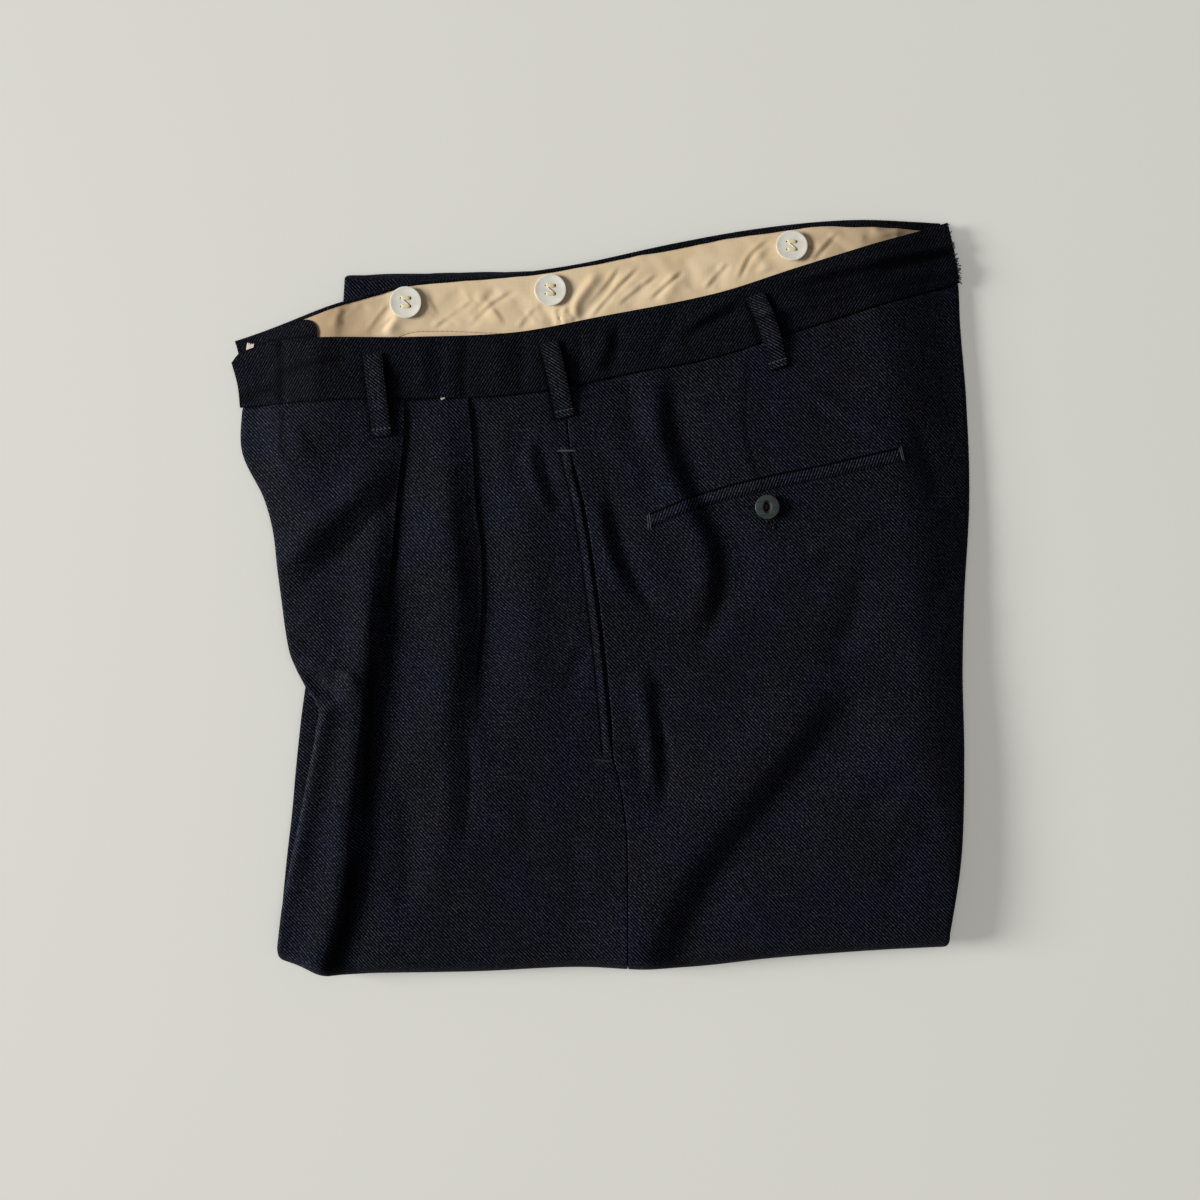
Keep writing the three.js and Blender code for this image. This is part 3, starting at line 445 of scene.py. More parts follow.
def stack_rise(x, y):
    """Height of the legs under a point, easing down to the table beside them."""
    waist_front, fold_front, fold_back, waist_back = LEG_CORNERS
    front = outside(waist_front, fold_front, x, y)
    back = outside(fold_back, waist_back, x, y)
    waist = outside(waist_back, waist_front, x, y)
    past = np.hypot(np.maximum(np.maximum(front, back), 0), np.maximum(waist, 0))
    return STACK * (1 - smooth(past, 0, DROOP))


def panel_surface(x, y):
    """The seat's upper surface with its folds, without pleats and sewing."""
    rise = folds(FOLDS, x, y) + folds(CREASES, x, y)
    down = np.maximum(-rise, 0)
    rise += down - down / (1 + (down / DEEPEST) ** 6) ** (1 / 6)
    rise += 0.42 * waves(x, y, 52, 3) + 0.17 * waves(x, y, 19, 5) + 0.05 * waves(x, y, 7, 8)
    below_seam = waist_seam(x) - y
    gathers = waves(x, y * 0.12, 8, 11) * 0.34 * np.exp(-np.maximum(below_seam, 0) / 10)
    return stack_rise(x, y) + PANEL_TOP + rise + gathers


def pleat_fade(i, y):
    """Share of a pleat that is left at a height: 1 near the waist, 0 where it is gone."""
    _, _, full, gone, _ = PLEATS[i]
    return smooth(y, gone, full)


def pleat_fall(i, before):
    """Share of a pleat's height at a distance in front of its edge."""
    return np.where(before < 0, 0, (1 - np.clip(before / PLEATS[i][1], 0, 1)) ** 2)


def sewn_relief(x, y):
    """What sewing does to the front beside the side pocket, above its plain surface."""
    before = side_seam(y) - x
    along = smooth(y, POCKET_BOTTOM - 6, POCKET_BOTTOM) * (1 - smooth(y, POCKET_TOP, POCKET_TOP + 6))
    hem = np.where(before > -0.5, HEM_RAISED * (1 - smooth(before, HEM - 4.5, HEM + 0.8)), 0)
    groove = -0.5 * bell(before - HEM, -STITCHED_IN, 0.7)
    puckers = 0.2 * waves(x * 0.3, y, 4.6, 23) * bell(before, HEM, 4)
    return along * (hem + groove + puckers)


def flat_front(x, y):
    """The front's surface without its pleats."""
    return panel_surface(x, y) + sewn_relief(x, y)


def front_surface(x, y):
    rise = flat_front(x, y)
    for i, edge in enumerate(pleat_edges):
        rise += PLEATS[i][0] * pleat_fall(i, edge(y) - x) * pleat_fade(i, y)
    return rise


def welt_relief(x, y):
    """How the panel swells round the welt."""
    away = y - welt_middle(x)
    ends = smooth(x, 22, 26) * (1 - smooth(x, 167, 171))
    swell = 0.3 * bell(away, 0, 9) + 0.12 * waves(x, y * 0.3, 9, 31) * bell(away, 0, 12)
    return ends * swell


DART = [(83, 141), (80.5, 118), (80, 94), (86, 69)]


def back_surface(x, y):
    dart = folds([(-0.7, 1.1, 0.9, DART, True), (0.4, 4, 7, DART, True)], x, y)
    return panel_surface(x, y) + welt_relief(x, y) + dart


def no_deeper(rise, limit):
    """The same heights, with the troughs eased off towards a limit."""
    return np.where(rise < 0, -limit * np.tanh(-rise / limit), rise)


def band_surface(x, y):
    rise = folds(BAND_FOLDS, x, y)
    rise = no_deeper(rise, 1.2) + 0.22 * waves(x, y, 30, 41) + 0.1 * waves(x, y, 11, 43)
    return stack_rise(x, y) + BAND_TOP + rise + 0.05 * waves(x, y, 5, 47)


def lining_surface(x, y):
    rise = 1.5 * folds(LINING_FOLDS, x, y) + 0.3 * waves(x, y, 22, 51)
    rise = rise + 0.2 * waves(x + y, 0.4 * (x - y), 8, 53)
    return stack_rise(x, y) + LINING_TOP + no_deeper(rise, 0.65)


def facing_surface(x, y):
    return stack_rise(x, y) + FACING_TOP + 0.2 * waves(x, y, 12, 71)


# ---------------------------------------------------------------- grids and shells


def crossings(columns, rows):
    """Where columns, x as a function of y, meet rows, y as a function of x."""
    x = columns(0.0)
    for _ in range(MEETING_STEPS):
        y = rows(x)
        x = columns(y)
    return x, y


def stacked(x, y, z):
    return np.stack(np.broadcast_arrays(x, y, z), -1)


def row_normals(grid):
    """Outward directions of a panel's grid, square to its columns and to X."""
    down = np.gradient(grid, axis=0)
    normal = np.stack([np.zeros(down.shape[:2]), down[..., 2], -down[..., 1]], -1)
    return normal / np.linalg.norm(normal, axis=-1, keepdims=True)


def select_only(obj):
    bpy.ops.object.select_all(action="DESELECT")
    obj.select_set(True)
    bpy.context.view_layer.objects.active = obj


def mesh_object(name, points, faces, grain=None, smooth_angle=40.0):
    """An object from points in millimetres and four-cornered faces, with its grain as a UV map."""
    mesh = bpy.data.meshes.new(name)
    mesh.vertices.add(len(points))
    mesh.vertices.foreach_set("co", ((points - MIDDLE) * MM).astype(np.float32).ravel())
    mesh.loops.add(faces.size)
    mesh.loops.foreach_set("vertex_index", faces.astype(np.int32).ravel())
    mesh.polygons.add(len(faces))
    mesh.polygons.foreach_set("loop_start", np.arange(len(faces), dtype=np.int32) * 4)
    if grain is not None:
        layer = mesh.uv_layers.new(name="grain")
        layer.data.foreach_set("uv", (grain[faces.ravel()] * MM).astype(np.float32).ravel())
    mesh.update(calc_edges=True)
    mesh.validate()
    obj = bpy.data.objects.new(name, mesh)
    bpy.context.scene.collection.objects.link(obj)
    select_only(obj)
    bpy.ops.object.shade_smooth_by_angle(angle=math.radians(smooth_angle))
    return obj


def shell(name, outer, inner, grain):
    """The closed shell between two grids, whose rows run down and whose columns run to +X."""
    rows, cols = outer.shape[:2]
    size = rows * cols
    index = np.arange(size).reshape(rows, cols)
    corners = index[:-1, :-1], index[1:, :-1], index[1:, 1:], index[:-1, 1:]
    face = np.stack(corners, -1).reshape(-1, 4)
    ring = np.concatenate([index[:-1, 0], index[-1, :-1], index[:0:-1, -1], index[0, :0:-1]])
    after = np.roll(ring, -1)
    border = np.stack([after, ring, ring + size, after + size], -1)
    faces = np.concatenate([face, face[:, ::-1] + size, border])
    points = np.concatenate([outer.reshape(-1, 3), inner.reshape(-1, 3)])
    uv = np.concatenate([grain.reshape(-1, 2)] * 2)
    return mesh_object(name, points, faces, uv)


def paint(obj, name, values):
    """Gives both faces of a shell a number at each point, which its finish reads by name."""
    tint = obj.data.attributes.new(name, "FLOAT", "POINT")
    tint.data.foreach_set("value", np.tile(np.ravel(values), 2).astype(np.float32))


def cloth_area(grid):
    """Area of a grid's surface, in square metres."""
    across = grid[:-1, 1:] - grid[:-1, :-1]
    down = grid[1:, :-1] - grid[:-1, :-1]
    return float(np.linalg.norm(np.cross(across, down), axis=-1).sum()) * MM * MM


# ---------------------------------------------------------------- columns of a panel

# The path of a panel's outer edge, from inside the turned edge up and over: distance from the
# edge and drop below the surface
EDGE_ROUND, EDGE_TURN = 3.2, 0.9


def turned_edge():
    path = [(3.4, EDGE_ROUND + EDGE_TURN), (2.2, EDGE_ROUND + EDGE_TURN)]
    for angle in np.radians([90, 60, 30]):
        path.append((EDGE_TURN * (1 - math.cos(angle)), EDGE_ROUND + EDGE_TURN * math.sin(angle)))
    for angle in np.radians([90, 80, 70, 60, 50, 40, 28, 15, 0]):
        path.append((EDGE_ROUND * (1 - math.sin(angle)), EDGE_ROUND * (1 - math.cos(angle))))
    return path


SEWN_EDGE = [(0.0, 1.15), (0.04, 0.7), (0.2, 0.3), (0.5, 0.1), (0.9, 0.02)]

# The way of the cloth through a pleat: past the edge, and share of the pleat's height
PLEAT_PATH = [
    (-3.0, 1.0), (-2.2, 1.0), (-1.5, 1.0), (-0.9, 1.0), (-0.5, 0.98), (-0.2, 0.92), (-0.05, 0.82),
    (0.0, 0.7), (-0.08, 0.56), (-0.3, 0.47), (-0.8, 0.42), (-1.7, 0.4), (-2.6, 0.36), (-3.0, 0.2),
    (-2.6, 0.04), (-1.7, 0.0), (-0.8, 0.0), (0.0, 0.0), (0.7, 0.0), (1.4, 0.0),
]
PLEAT_SPREAD = 6.0  # how far in front of the edge the pleat's columns start where it has faded


class Columns:
    """The columns of a panel, each beside a line or between two, from the front to the back."""

    def __init__(self, lines):
        self.lines = lines
        self.rows = []

    def add(self, left, right, share, shift, drop=0.0, inner=None, pleat=(-1, 0.0, 0.0, 0.0)):
        """A column; pleat is its number, its way past the edge, its level and its cloth so far."""
        self.rows.append((left, right, share, shift, drop, *(inner or (shift, drop + CLOTH)), *pleat))

    def edge(self, line, path, side):
        """Columns along an edge; side is 1 where the panel lies behind the line, -1 in front."""
        path = np.array(path, float)
        along = np.gradient(path, axis=0)
        along /= np.linalg.norm(along, axis=1, keepdims=True)
        inner = path + CLOTH * np.stack([-along[:, 1], along[:, 0]], -1)
        order = range(len(path)) if side > 0 else range(len(path) - 1, -1, -1)
        for i in order:
            self.add(line, line, 0.0, side * path[i, 0], path[i, 1], (side * inner[i, 0], inner[i, 1]))

    def between(self, left, right, start, end, count):
        for share in np.linspace(0, 1, count + 2)[1:-1]:
            self.add(left, right, share, mix(start, -end, share))

    def pleat(self, line, number):
        flat = np.linspace(-PLEAT_SPREAD, PLEAT_PATH[-1][0], len(PLEAT_PATH))
        path = np.array(PLEAT_PATH)
        cloth = path[0, 0] + way_along(path * [1, PLEATS[number][0]])
        for i, (past, level) in enumerate(PLEAT_PATH):
            self.add(line, line, 0.0, flat[i], pleat=(number, past, level, cloth[i]))

    def settle(self):
        table = np.array(self.rows, float)
        (self.left, self.right, self.share, self.shift, self.drop, self.inner_shift, self.inner_drop,
         self.pleats, self.folded, self.level, self.cloth) = table.T
        self.left, self.right, self.pleats = (a.astype(int) for a in (self.left, self.right, self.pleats))
        return self

    def x(self, y, inner=False):
        """X of the columns at y; a single y gives one row."""
        y = np.broadcast_to(y, np.broadcast_shapes(np.shape(y), (1, len(self.share))))
        knots = np.stack([line(y) for line in self.lines])
        cols = np.arange(len(self.share))
        base = mix(knots[self.left, :, cols].T, knots[self.right, :, cols].T, self.share)
        if inner:
            return base + self.inner_shift
        return base + mix(self.shift, self.folded, self.fade(y))

    def fade(self, y):
        fade = np.zeros(np.shape(y))
        for i in range(len(PLEATS)):
            fade = np.where(self.pleats == i, pleat_fade(i, y), fade)
        return fade


# Rows of a panel: beside the waist seam, by how far they lie below it, then how many there are
# down the flat, round the bottom fold and along the layer that is tucked under
SEAM_ROWS = [-2.2, -1.2, -0.5, -0.1, 0.3, 0.8, 1.4, 2.2, 3.2]
FLAT_ROWS, WRAP_ROWS, TUCK_ROWS = 205, 22, 10


def panel_rows(columns):
    """Grids down a panel: x outside and inside, y, the turn round the fold and the way tucked in."""
    seam = np.array(SEAM_ROWS)

    def row_y(x, r):
        top = waist_seam(x)
        bottom = bottom_fold(x) + BULGE
        share = np.clip((r - len(seam) + 1) / FLAT_ROWS, 0, 1)
        near_seam = top - np.interp(r, np.arange(len(seam)), seam)
        return np.where(r < len(seam), near_seam, mix(top - seam[-1], bottom, share))

    count = len(seam) + FLAT_ROWS + WRAP_ROWS + TUCK_ROWS
    r = np.arange(count)[:, None].astype(float)
    x = columns.x(0.0)
    for _ in range(MEETING_STEPS):
        y = row_y(x, r)
        x = columns.x(y)
    inner_x = columns.x(y, inner=True)
    step = r - (len(seam) + FLAT_ROWS - 1)
    angle = np.clip(step / WRAP_ROWS, 0, 1) * math.pi
    tucked = np.clip((step - WRAP_ROWS) / TUCK_ROWS, 0, 1) * TUCK
    return x, inner_x, y, angle, tucked


def seam_dip(x, y):
    """How far a panel sinks where it goes in under the waistband."""
    return 1.35 * (1 - smooth(waist_seam(x) - y, -0.7, 2.0))


def panel(name, columns, surface, free_line, side):
    columns.settle()
    x, inner_x, y, angle, tucked = panel_rows(columns)
    fold = (1 + np.cos(angle)) / 2
    down_y = y - BULGE * np.sin(angle) + tucked
    height = surface(x, y)
    for i, (high, _, _, _, _) in enumerate(PLEATS):
        own = columns.pleats == i
        before = np.maximum(-mix(columns.shift, columns.folded, pleat_fade(i, y)), 0)
        plain = pleat_fall(i, pleat_edges[i](y) - x)
        level = np.where(own, columns.level * pleat_fall(i, before), plain)
        near_band = mix(0.45, 1.0, smooth(waist_seam(x) - y, -1, 9))
        height = height + high * level * pleat_fade(i, y) * near_band
    height = height - seam_dip(x, y)
    base = panel_surface(inner_x, y) - seam_dip(inner_x, y)
    taper = side * 8 * tucked / TUCK * (1 - smooth(side * (x - free_line(y)), 0, 60))
    x, inner_x = x + taper, inner_x + taper
    outer_grid = stacked(x, down_y, height * fold)
    inner_grid = stacked(inner_x, down_y, base * fold)
    dome = DOME * (1 - smooth(side * (x - free_line(y)), 0, DOME_REACH))
    ease = mix(1.0, 0.35, angle / math.pi)
    normal = row_normals(stacked(x, down_y, (stack_rise(x, y) + PANEL_TOP) * fold))
    outer_grid = outer_grid - normal * ((columns.drop + dome) * ease)[..., None]
    thick = columns.inner_drop - columns.drop
    inner_grid = inner_grid - normal * ((columns.drop + dome) * ease + thick)[..., None]
    arc = np.linalg.norm(np.diff(outer_grid[..., 1:], axis=0), axis=-1).mean(1)
    arc = np.concatenate([[0], np.cumsum(arc)])
    flat_end = int((angle == 0).sum()) - 1
    down = np.where(angle > 0, y[flat_end] - (arc[:, None] - arc[flat_end]), y)
    grain_x = x
    hidden = np.zeros_like(x)
    for i, (high, _, _, _, _) in enumerate(PLEATS):
        own = columns.pleats == i
        if own.any():
            last = np.nonzero(own)[0][-1]
            fade = pleat_fade(i, y)
            own_x = pleat_edges[i](y) + mix(columns.shift, columns.cloth, fade)
            grain_x = np.where(own, own_x + hidden, grain_x)
            extra = fade[:, last:last + 1] * (columns.cloth[last] - columns.folded[last])
            hidden = hidden + np.where(np.arange(x.shape[1]) > last, extra, 0)
    grain_x = np.where(columns.pleats < 0, x + hidden, grain_x)
    obj = shell(name, outer_grid, inner_grid, stacked(grain_x, down, 0)[..., :2])
    return obj, outer_grid


def seam_half(y):
    """Half the opening between front and back: a seam, or the slit of the side pocket."""
    opens = smooth(y, POCKET_BOTTOM, POCKET_BOTTOM + 12)
    closes = smooth(y, POCKET_TOP - 12, POCKET_TOP)
    return mix(0.1, SLIT / 2, opens * (1 - closes))


def hem_line(y):
    return side_seam(y) - seam_half(y)


def back_seam_line(y):
    return side_seam(y) + seam_half(y)


def front_left():
    columns = Columns([front_edge, *pleat_edges, hem_line])
    columns.edge(0, turned_edge(), 1)
    columns.between(0, 1, EDGE_ROUND, PLEAT_SPREAD, 38)
    columns.pleat(1, 0)
    columns.between(1, 2, PLEAT_PATH[-1][0], PLEAT_SPREAD, 20)
    columns.pleat(2, 1)
    columns.between(2, 3, PLEAT_PATH[-1][0], 7.2, 28)
    for past in (7.2, 6.6, 6.1, 5.6, 5.1, 4.6, 3.8, 2.6, 1.6):
        columns.add(3, 3, 0.0, -past)
    columns.edge(3, SEWN_EDGE, -1)
    obj, outer = panel("front_left_cloth", columns, flat_front, front_edge, 1)
    x, y = outer[..., 0], outer[..., 1]
    inside = x - front_edge(y)
    # Painted highlight: lighter along the lit turned front edge and along the lit edge of the first pleat
    wear_and_highlight = 0.35 * smooth(inside, 0.2, 0.8) * (1 - smooth(inside, 1.0, 2.0))
    wear_and_highlight = wear_and_highlight * smooth(-y, 30, 60) * (1 - smooth(-y, 150, 185))
    wear_and_highlight += 0.7 * bell(pleat_edges[0](y) - x, 0.6, 0.6) * smooth(y, 30, 80)
    before = side_seam(y) - x
    above, below = smooth(y, POCKET_BOTTOM - 4, POCKET_BOTTOM), 1 - smooth(y, POCKET_TOP, POCKET_TOP + 4)
    # Painted shade in the stitched groove beside the pocket's hem
    stitched_groove_shade = 0.85 * bell(before - HEM, -STITCHED_IN, 0.6) * above
    stitched_groove_shade *= below * (0.7 + 0.3 * waves(0 * x, y, 2.4, 29))
    # Painted highlight on the raised hem strip in front of the slit
    strip = smooth(before, 0.3, 0.8) * (1 - smooth(before, HEM - 1.6, HEM - 0.9)) * above * below
    shade = folds(CREASE_SHADE, x, y)
    paint(obj, "deep", np.clip(stitched_groove_shade + shade + beside_loops(x, y), 0, 0.95) - wear_and_highlight - 0.3 * strip)
    return obj, outer


def back_left():
    columns = Columns([back_seam_line, back_edge])
    columns.edge(0, SEWN_EDGE, 1)
    columns.between(0, 1, SEWN_EDGE[-1][0], EDGE_ROUND, 124)
    columns.edge(1, turned_edge(), -1)
    obj, outer = panel("back_left_cloth", columns, back_surface, back_edge, -1)
    # Painted shade along the dart and in the back's deepest troughs
    paint(obj, "deep", folds([(0.6, 1.2, 1.0, DART, True), *BACK_SHADE], outer[..., 0], outer[..., 1]))
    return obj, outer


# ---------------------------------------------------------------- flat layers of cloth


def rounded(distance, radius):
    """Drop of an edge that is round with a radius, at a distance from it."""
    inner = np.clip(radius - distance, 0, radius)
    return radius - np.sqrt(radius**2 - inner**2)


RIM = np.array([0, 0.06, 0.2, 0.45, 0.8, 1.3])


def spaced(length, cell):
    """Shares of a length, close together at both ends and a cell apart between them."""
    rim = RIM / length
    count = max(int((length - 2 * RIM[-1]) / cell), 1)
    return np.concatenate([rim[:-1], np.linspace(rim[-1], 1 - rim[-1], count + 1), 1 - rim[-2::-1]])


def slab(name, x, y, edge, top, under, grain=None):
    """A layer of cloth between two heights, its border rounded by the distance to it."""
    half = np.maximum(top - under, 0.1) * 0.49
    drop = rounded(np.maximum(edge, 0), half)
    grain = stacked(x, y, 0)[..., :2] if grain is None else grain
    outer = stacked(x, y, top - drop)
    return shell(name, outer, stacked(x, y, under + drop), grain), outer


def beside_loops(x, y):
    """Shade on the cloth along both sides of the belt loops."""
    shade = np.zeros(np.shape(x))
    for width, top, bottom in LOOPS.values():
        half = width / 2 + 0.8
        for side in (-half, half):
            line = [(top[0] + side, top[1] + 3), (bottom[0] + side, bottom[1] - 1)]
            shade += folds([(0.95, 1.5, 1.5, line, True)], x, y)
    return shade


def waistband_left():
    u = spaced(BAND_LENGTH, 1.6)[None, :]
    v = spaced(BAND_HEIGHT, 1.25)[:, None]
    x, y = crossings(
        lambda y: mix(left_band_front(y), back_edge(y), u),
        lambda x: mix(left_band_top(x), waist_seam(x) + SEAM / 2, v),
    )
    above, below = left_band_top(x) - y, y - waist_seam(x) - SEAM / 2
    ends = np.minimum(x - left_band_front(y), back_edge(y) - x)
    edge = np.minimum(np.minimum(above, below), ends)
    top = band_surface(x, y) - 0.5 * (1 - smooth(np.minimum(above, ends), 0, 5))
    top -= 0.25 * (1 - smooth(below, 0, 3))
    top -= 0.14 * bell(above, 2.2, 0.5)
    obj, outer = slab("waistband_left_cloth", x, y, edge, top, stack_rise(x, y) + BAND_UNDER)
    # Painted shade in the band's deeper creases, beside the belt loops and along its seam with the panel; the
    # back end is lighter where the cloth is rubbed
    creased = folds([row for row in BAND_FOLDS if row[0] <= -1.3], x, y)
    seam = 0.6 * (1 - smooth(below, 0.3, 1.2))
    wear_and_highlight = 0.5 * smooth(x, 176, 200) * smooth(waves(x, y, 3, 45), 0.1, 0.8) * (1 - smooth(ends, 0, 16))
    paint(obj, "deep", np.clip(beside_loops(x, y) - 0.45 * creased, 0, 0.8) + seam - wear_and_highlight)
    return obj, outer


def lip_width(x):
    """How much of the right waistband's own cloth shows above its lining."""
    return 2.3 + 0.6 * waves(x, 0, 12, 61) + 1.1 * smooth(x, -15, 40) + 1.6 * smooth(x, 120, 165)


def right_band_grid(depths, length, cell, start=0.0, end=1.0):
    u = mix(start, end, spaced(length, cell))[None, :]
    return crossings(
        lambda y: mix(right_front_end(y), back_edge(y) - BAND_INSET, u),
        lambda x: right_band_top(x) - depths(x),
    )


def waistband_right():
    shares = np.concatenate([np.linspace(0, 1, 12)[:-1], np.linspace(1, 12, 22)])[:, None]

    def depth(x):
        lip = lip_width(x)
        return np.where(shares <= 1, shares * (lip + 0.5), mix(lip + 0.5, BAND_HEIGHT, (shares - 1) / 11))

    x, y = right_band_grid(depth, BAND_LENGTH, 1.8)
    depths = right_band_top(x) - y
    width = lip_width(x)
    bumps = 0.12 * waves(x, depths, 4, 63) * smooth(x, 120, 180) + 0.07 * waves(x, depths, 7, 65)
    lip = (LINING_TOP + 0.75 - RIGHT_TOP + bumps) * (1 - smooth(depths, width - 0.2, width + 0.5))
    edge = np.minimum(depths, np.minimum(x - right_front_end(y), back_edge(y) - BAND_INSET - x))
    top = stack_rise(x, y) + RIGHT_TOP + lip
    return slab("waistband_right_cloth", x, y, edge, top, stack_rise(x, y) + RIGHT_UNDER)


def waistband_lining():
    shares = spaced(BAND_HEIGHT, 0.85)[:, None]

    def depth(x):
        return mix(lip_width(x) - 0.3, BAND_HEIGHT - 0.5, shares)

    x, y = right_band_grid(depth, 380, 1.3, 0.06, 0.985)
    depths = right_band_top(x) - y
    top = lining_surface(x, y) - 0.35 * (1 - smooth(depths - lip_width(x), -0.4, 2.5))
    edge = np.minimum(depths - lip_width(x) + 0.3, BAND_HEIGHT - 0.5 - depths)
    under = np.minimum(stack_rise(x, y) + LINING_UNDER, top - 0.5)
    obj, outer = slab("waistband_lining_cloth", x, y, edge, top, under, stacked(x, -depths, 0)[..., :2])
    seam = Line(CURTAIN_SEAM, "x")
    curtain = smooth(seam(x) - y, -0.4, 0.4) * smooth(x, -121, -116) * (1 - smooth(x, -52, -44))
    paint(obj, "curtain", curtain)
    # Darker and browner towards both ends of the lining, and at the rust spot
    darker_ends_and_rust = 1 - smooth(x, -152, -110) + 0.62 * smooth(x, 102, 142)
    rust = bell(np.hypot(x - RUST_SPOT[0], y - RUST_SPOT[1]), 0, 1.1)
    paint(obj, "darker_ends_and_rust", darker_ends_and_rust + 0.9 * rust)
    return obj, outer


FLY_END_X, FLY_RADIUS, FLY_SET_BACK = -171.5, 11.0, 0.8


def fly_extension():
    straight = np.concatenate([[0, 0.004, 0.012, 0.03], np.linspace(0.06, 1, 18)])
    angles = np.radians([84, 78, 72, 66, 60, 54, 48, 42, 36, 30, 24, 18, 13, 9])
    share = np.concatenate([straight, np.ones(len(angles))])[None, :]
    past = np.concatenate([np.zeros(len(straight)), FLY_RADIUS * np.cos(angles)])[None, :]
    v = mix(-1, 1, spaced(2 * FLY_RADIUS, 1.2))[:, None]

    def half_height(x):
        return np.sqrt(FLY_RADIUS**2 - np.clip(x - FLY_END_X, 0, FLY_RADIUS - 0.05) ** 2)

    def middle(x):
        return right_band_top(x) - BAND_LIP - 0.6 - FLY_RADIUS

    x, y = crossings(
        lambda y: mix(right_front_end(y) + FLY_SET_BACK, FLY_END_X, share) + past,
        lambda x: middle(x) - v * half_height(x),
    )
    across = y - middle(x)
    from_end = FLY_RADIUS - np.hypot(np.maximum(x - FLY_END_X, 0), across)
    edge = np.minimum(from_end, x - right_front_end(y) - FLY_SET_BACK)
    top = facing_surface(x, y) - 0.2 * bell(edge, 1.6, 0.5)
    obj, outer = slab("fly_extension_cloth", x, y, edge, top, stack_rise(x, y) + FACING_UNDER)
    # Painted shadow along the left waistband's top edge
    paint(obj, "deep", 0.8 * (1 - smooth(y - left_band_top(x), 0.3, 2.5)))
    return obj, outer


def right_half():
    def left(y):
        return np.maximum(front_edge(y), right_front_end(y) - 3) + RIGHT_INSET

    u, v = spaced(400, 4.5)[None, :], spaced(380, 4.5)[:, None]
    x, y = crossings(
        lambda y: mix(left(y), back_edge(y) - RIGHT_INSET, u),
        lambda x: mix(right_band_top(x) - BAND_HEIGHT - SEAM, bottom_fold(x) + BULGE + 5, v),
    )
    edge = np.minimum(x - left(y), back_edge(y) - RIGHT_INSET - x)
    edge = np.minimum(edge, right_band_top(x) - BAND_HEIGHT - SEAM - y)
    edge = np.minimum(edge, y - bottom_fold(x) - BULGE - 5)
    ground = stack_rise(x, y)
    top = ground + RIGHT_TOP + 0.3 * waves(x, y, 25, 81)
    return slab("right_half_cloth", x, y, edge, top, ground + RIGHT_UNDER)


def towards(point, other):
    """The place a corner's rounding away from a point, on the way to another."""
    return point + LEG_CORNER * (other - point) / np.linalg.norm(other - point)


def leg_ring(front, back, fold, waist, z):
    """The outline of the legs, moved in on each side, with round corners, at a height."""
    insets = [front, fold, back, waist]
    corners = [np.array(corner, float) for corner in LEG_CORNERS]
    points, directions = [], []
    for start, end, inset in zip(corners, corners[1:] + corners[:1], insets):
        along = (end - start) / np.linalg.norm(end - start)
        points.append(start + inset * np.array([-along[1], along[0]]))
        directions.append(along)
    met = []
    for i in range(4):
        p, d, q, e = points[i], directions[i], points[(i + 1) % 4], directions[(i + 1) % 4]
        t = np.cross(q - p, e) / np.cross(d, e)
        met.append(p + t * d)
    ring = []
    for i, corner in enumerate(met):
        before, after = met[i - 1], met[(i + 1) % 4]
        start, end, reach = towards(corner, before), towards(corner, after), towards(after, corner)
        t = np.linspace(0, 1, CORNER_POINTS)[:, None]
        ring.append((1 - t) ** 2 * start + 2 * t * (1 - t) * corner + t**2 * end)
        ring.append(mix(end, reach, np.linspace(0, 1, SIDE_POINTS)[1:-1, None]))
    ring = np.concatenate(ring)
    return np.column_stack([ring, np.full(len(ring), float(z))])


def folded_legs():
    """Both legs, four soft layers one over the other, with a groove between each two."""
    high = STACK / len(LEG_LAYERS)
    rings = []
    for i, (front, back, fold) in enumerate(LEG_LAYERS):
        for share in (0.0, 0.06, 0.16, 0.3, 0.5, 0.7, 0.84, 0.94):
            z = (i + share) * high
            whole = 1 - math.sqrt(1 - (2 * z / STACK - 1) ** 2)
            side = 1.9 * (1 - math.sqrt(1 - (2 * share - 1) ** 2))
            ring = leg_ring(front + side, back + side, fold + 6 * whole, 5 * whole - 3, z)
            push = 0.8 * waves(ring[:, 0] + 31 * i, ring[:, 1], 26, 91)
            middle = ring[:, :2].mean(0)
            away = (ring[:, :2] - middle) / np.linalg.norm(ring[:, :2] - middle, axis=1, keepdims=True)
            ring[:, :2] -= away * (0.8 + push)[:, None]
            if 0 < z < STACK:
                ring[:, 2] += 0.35 * waves(ring[:, 0], ring[:, 1] + 17 * i, 40, 93)
            rings.append(ring)
    for inset, drop in ((8, 0.5), (14, 0.1), (26, 0.0), (60, 0.0), (110, 0.0), (160, 0.0)):
        rings.append(leg_ring(inset, inset, inset + 6, inset, STACK - drop))
    base = rings[0]
    under = [mix(base[:, :2].mean(0), base[:, :2], share) for share in (0.02, 0.5, 0.97)]
    floor = [np.column_stack([ring, np.zeros(len(ring))]) for ring in under]
    rings = [*floor, *rings]
    count = len(rings[0])
    points = np.concatenate(rings)
    k = np.arange(len(rings) - 1)[:, None] * count
    j = np.arange(count)[None, :]
    after = (j + 1) % count
    faces = np.stack([k + j, k + after, k + count + after, k + count + j], -1).reshape(-1, 4)
    down = np.where(points[:, 1] > 0, -points[:, 2], points[:, 2])
    grain = np.column_stack([points[:, 0], points[:, 1] + down])
    obj = mesh_object("folded_legs_cloth", points, faces, grain, 60)
    close_holes(obj)
    return obj


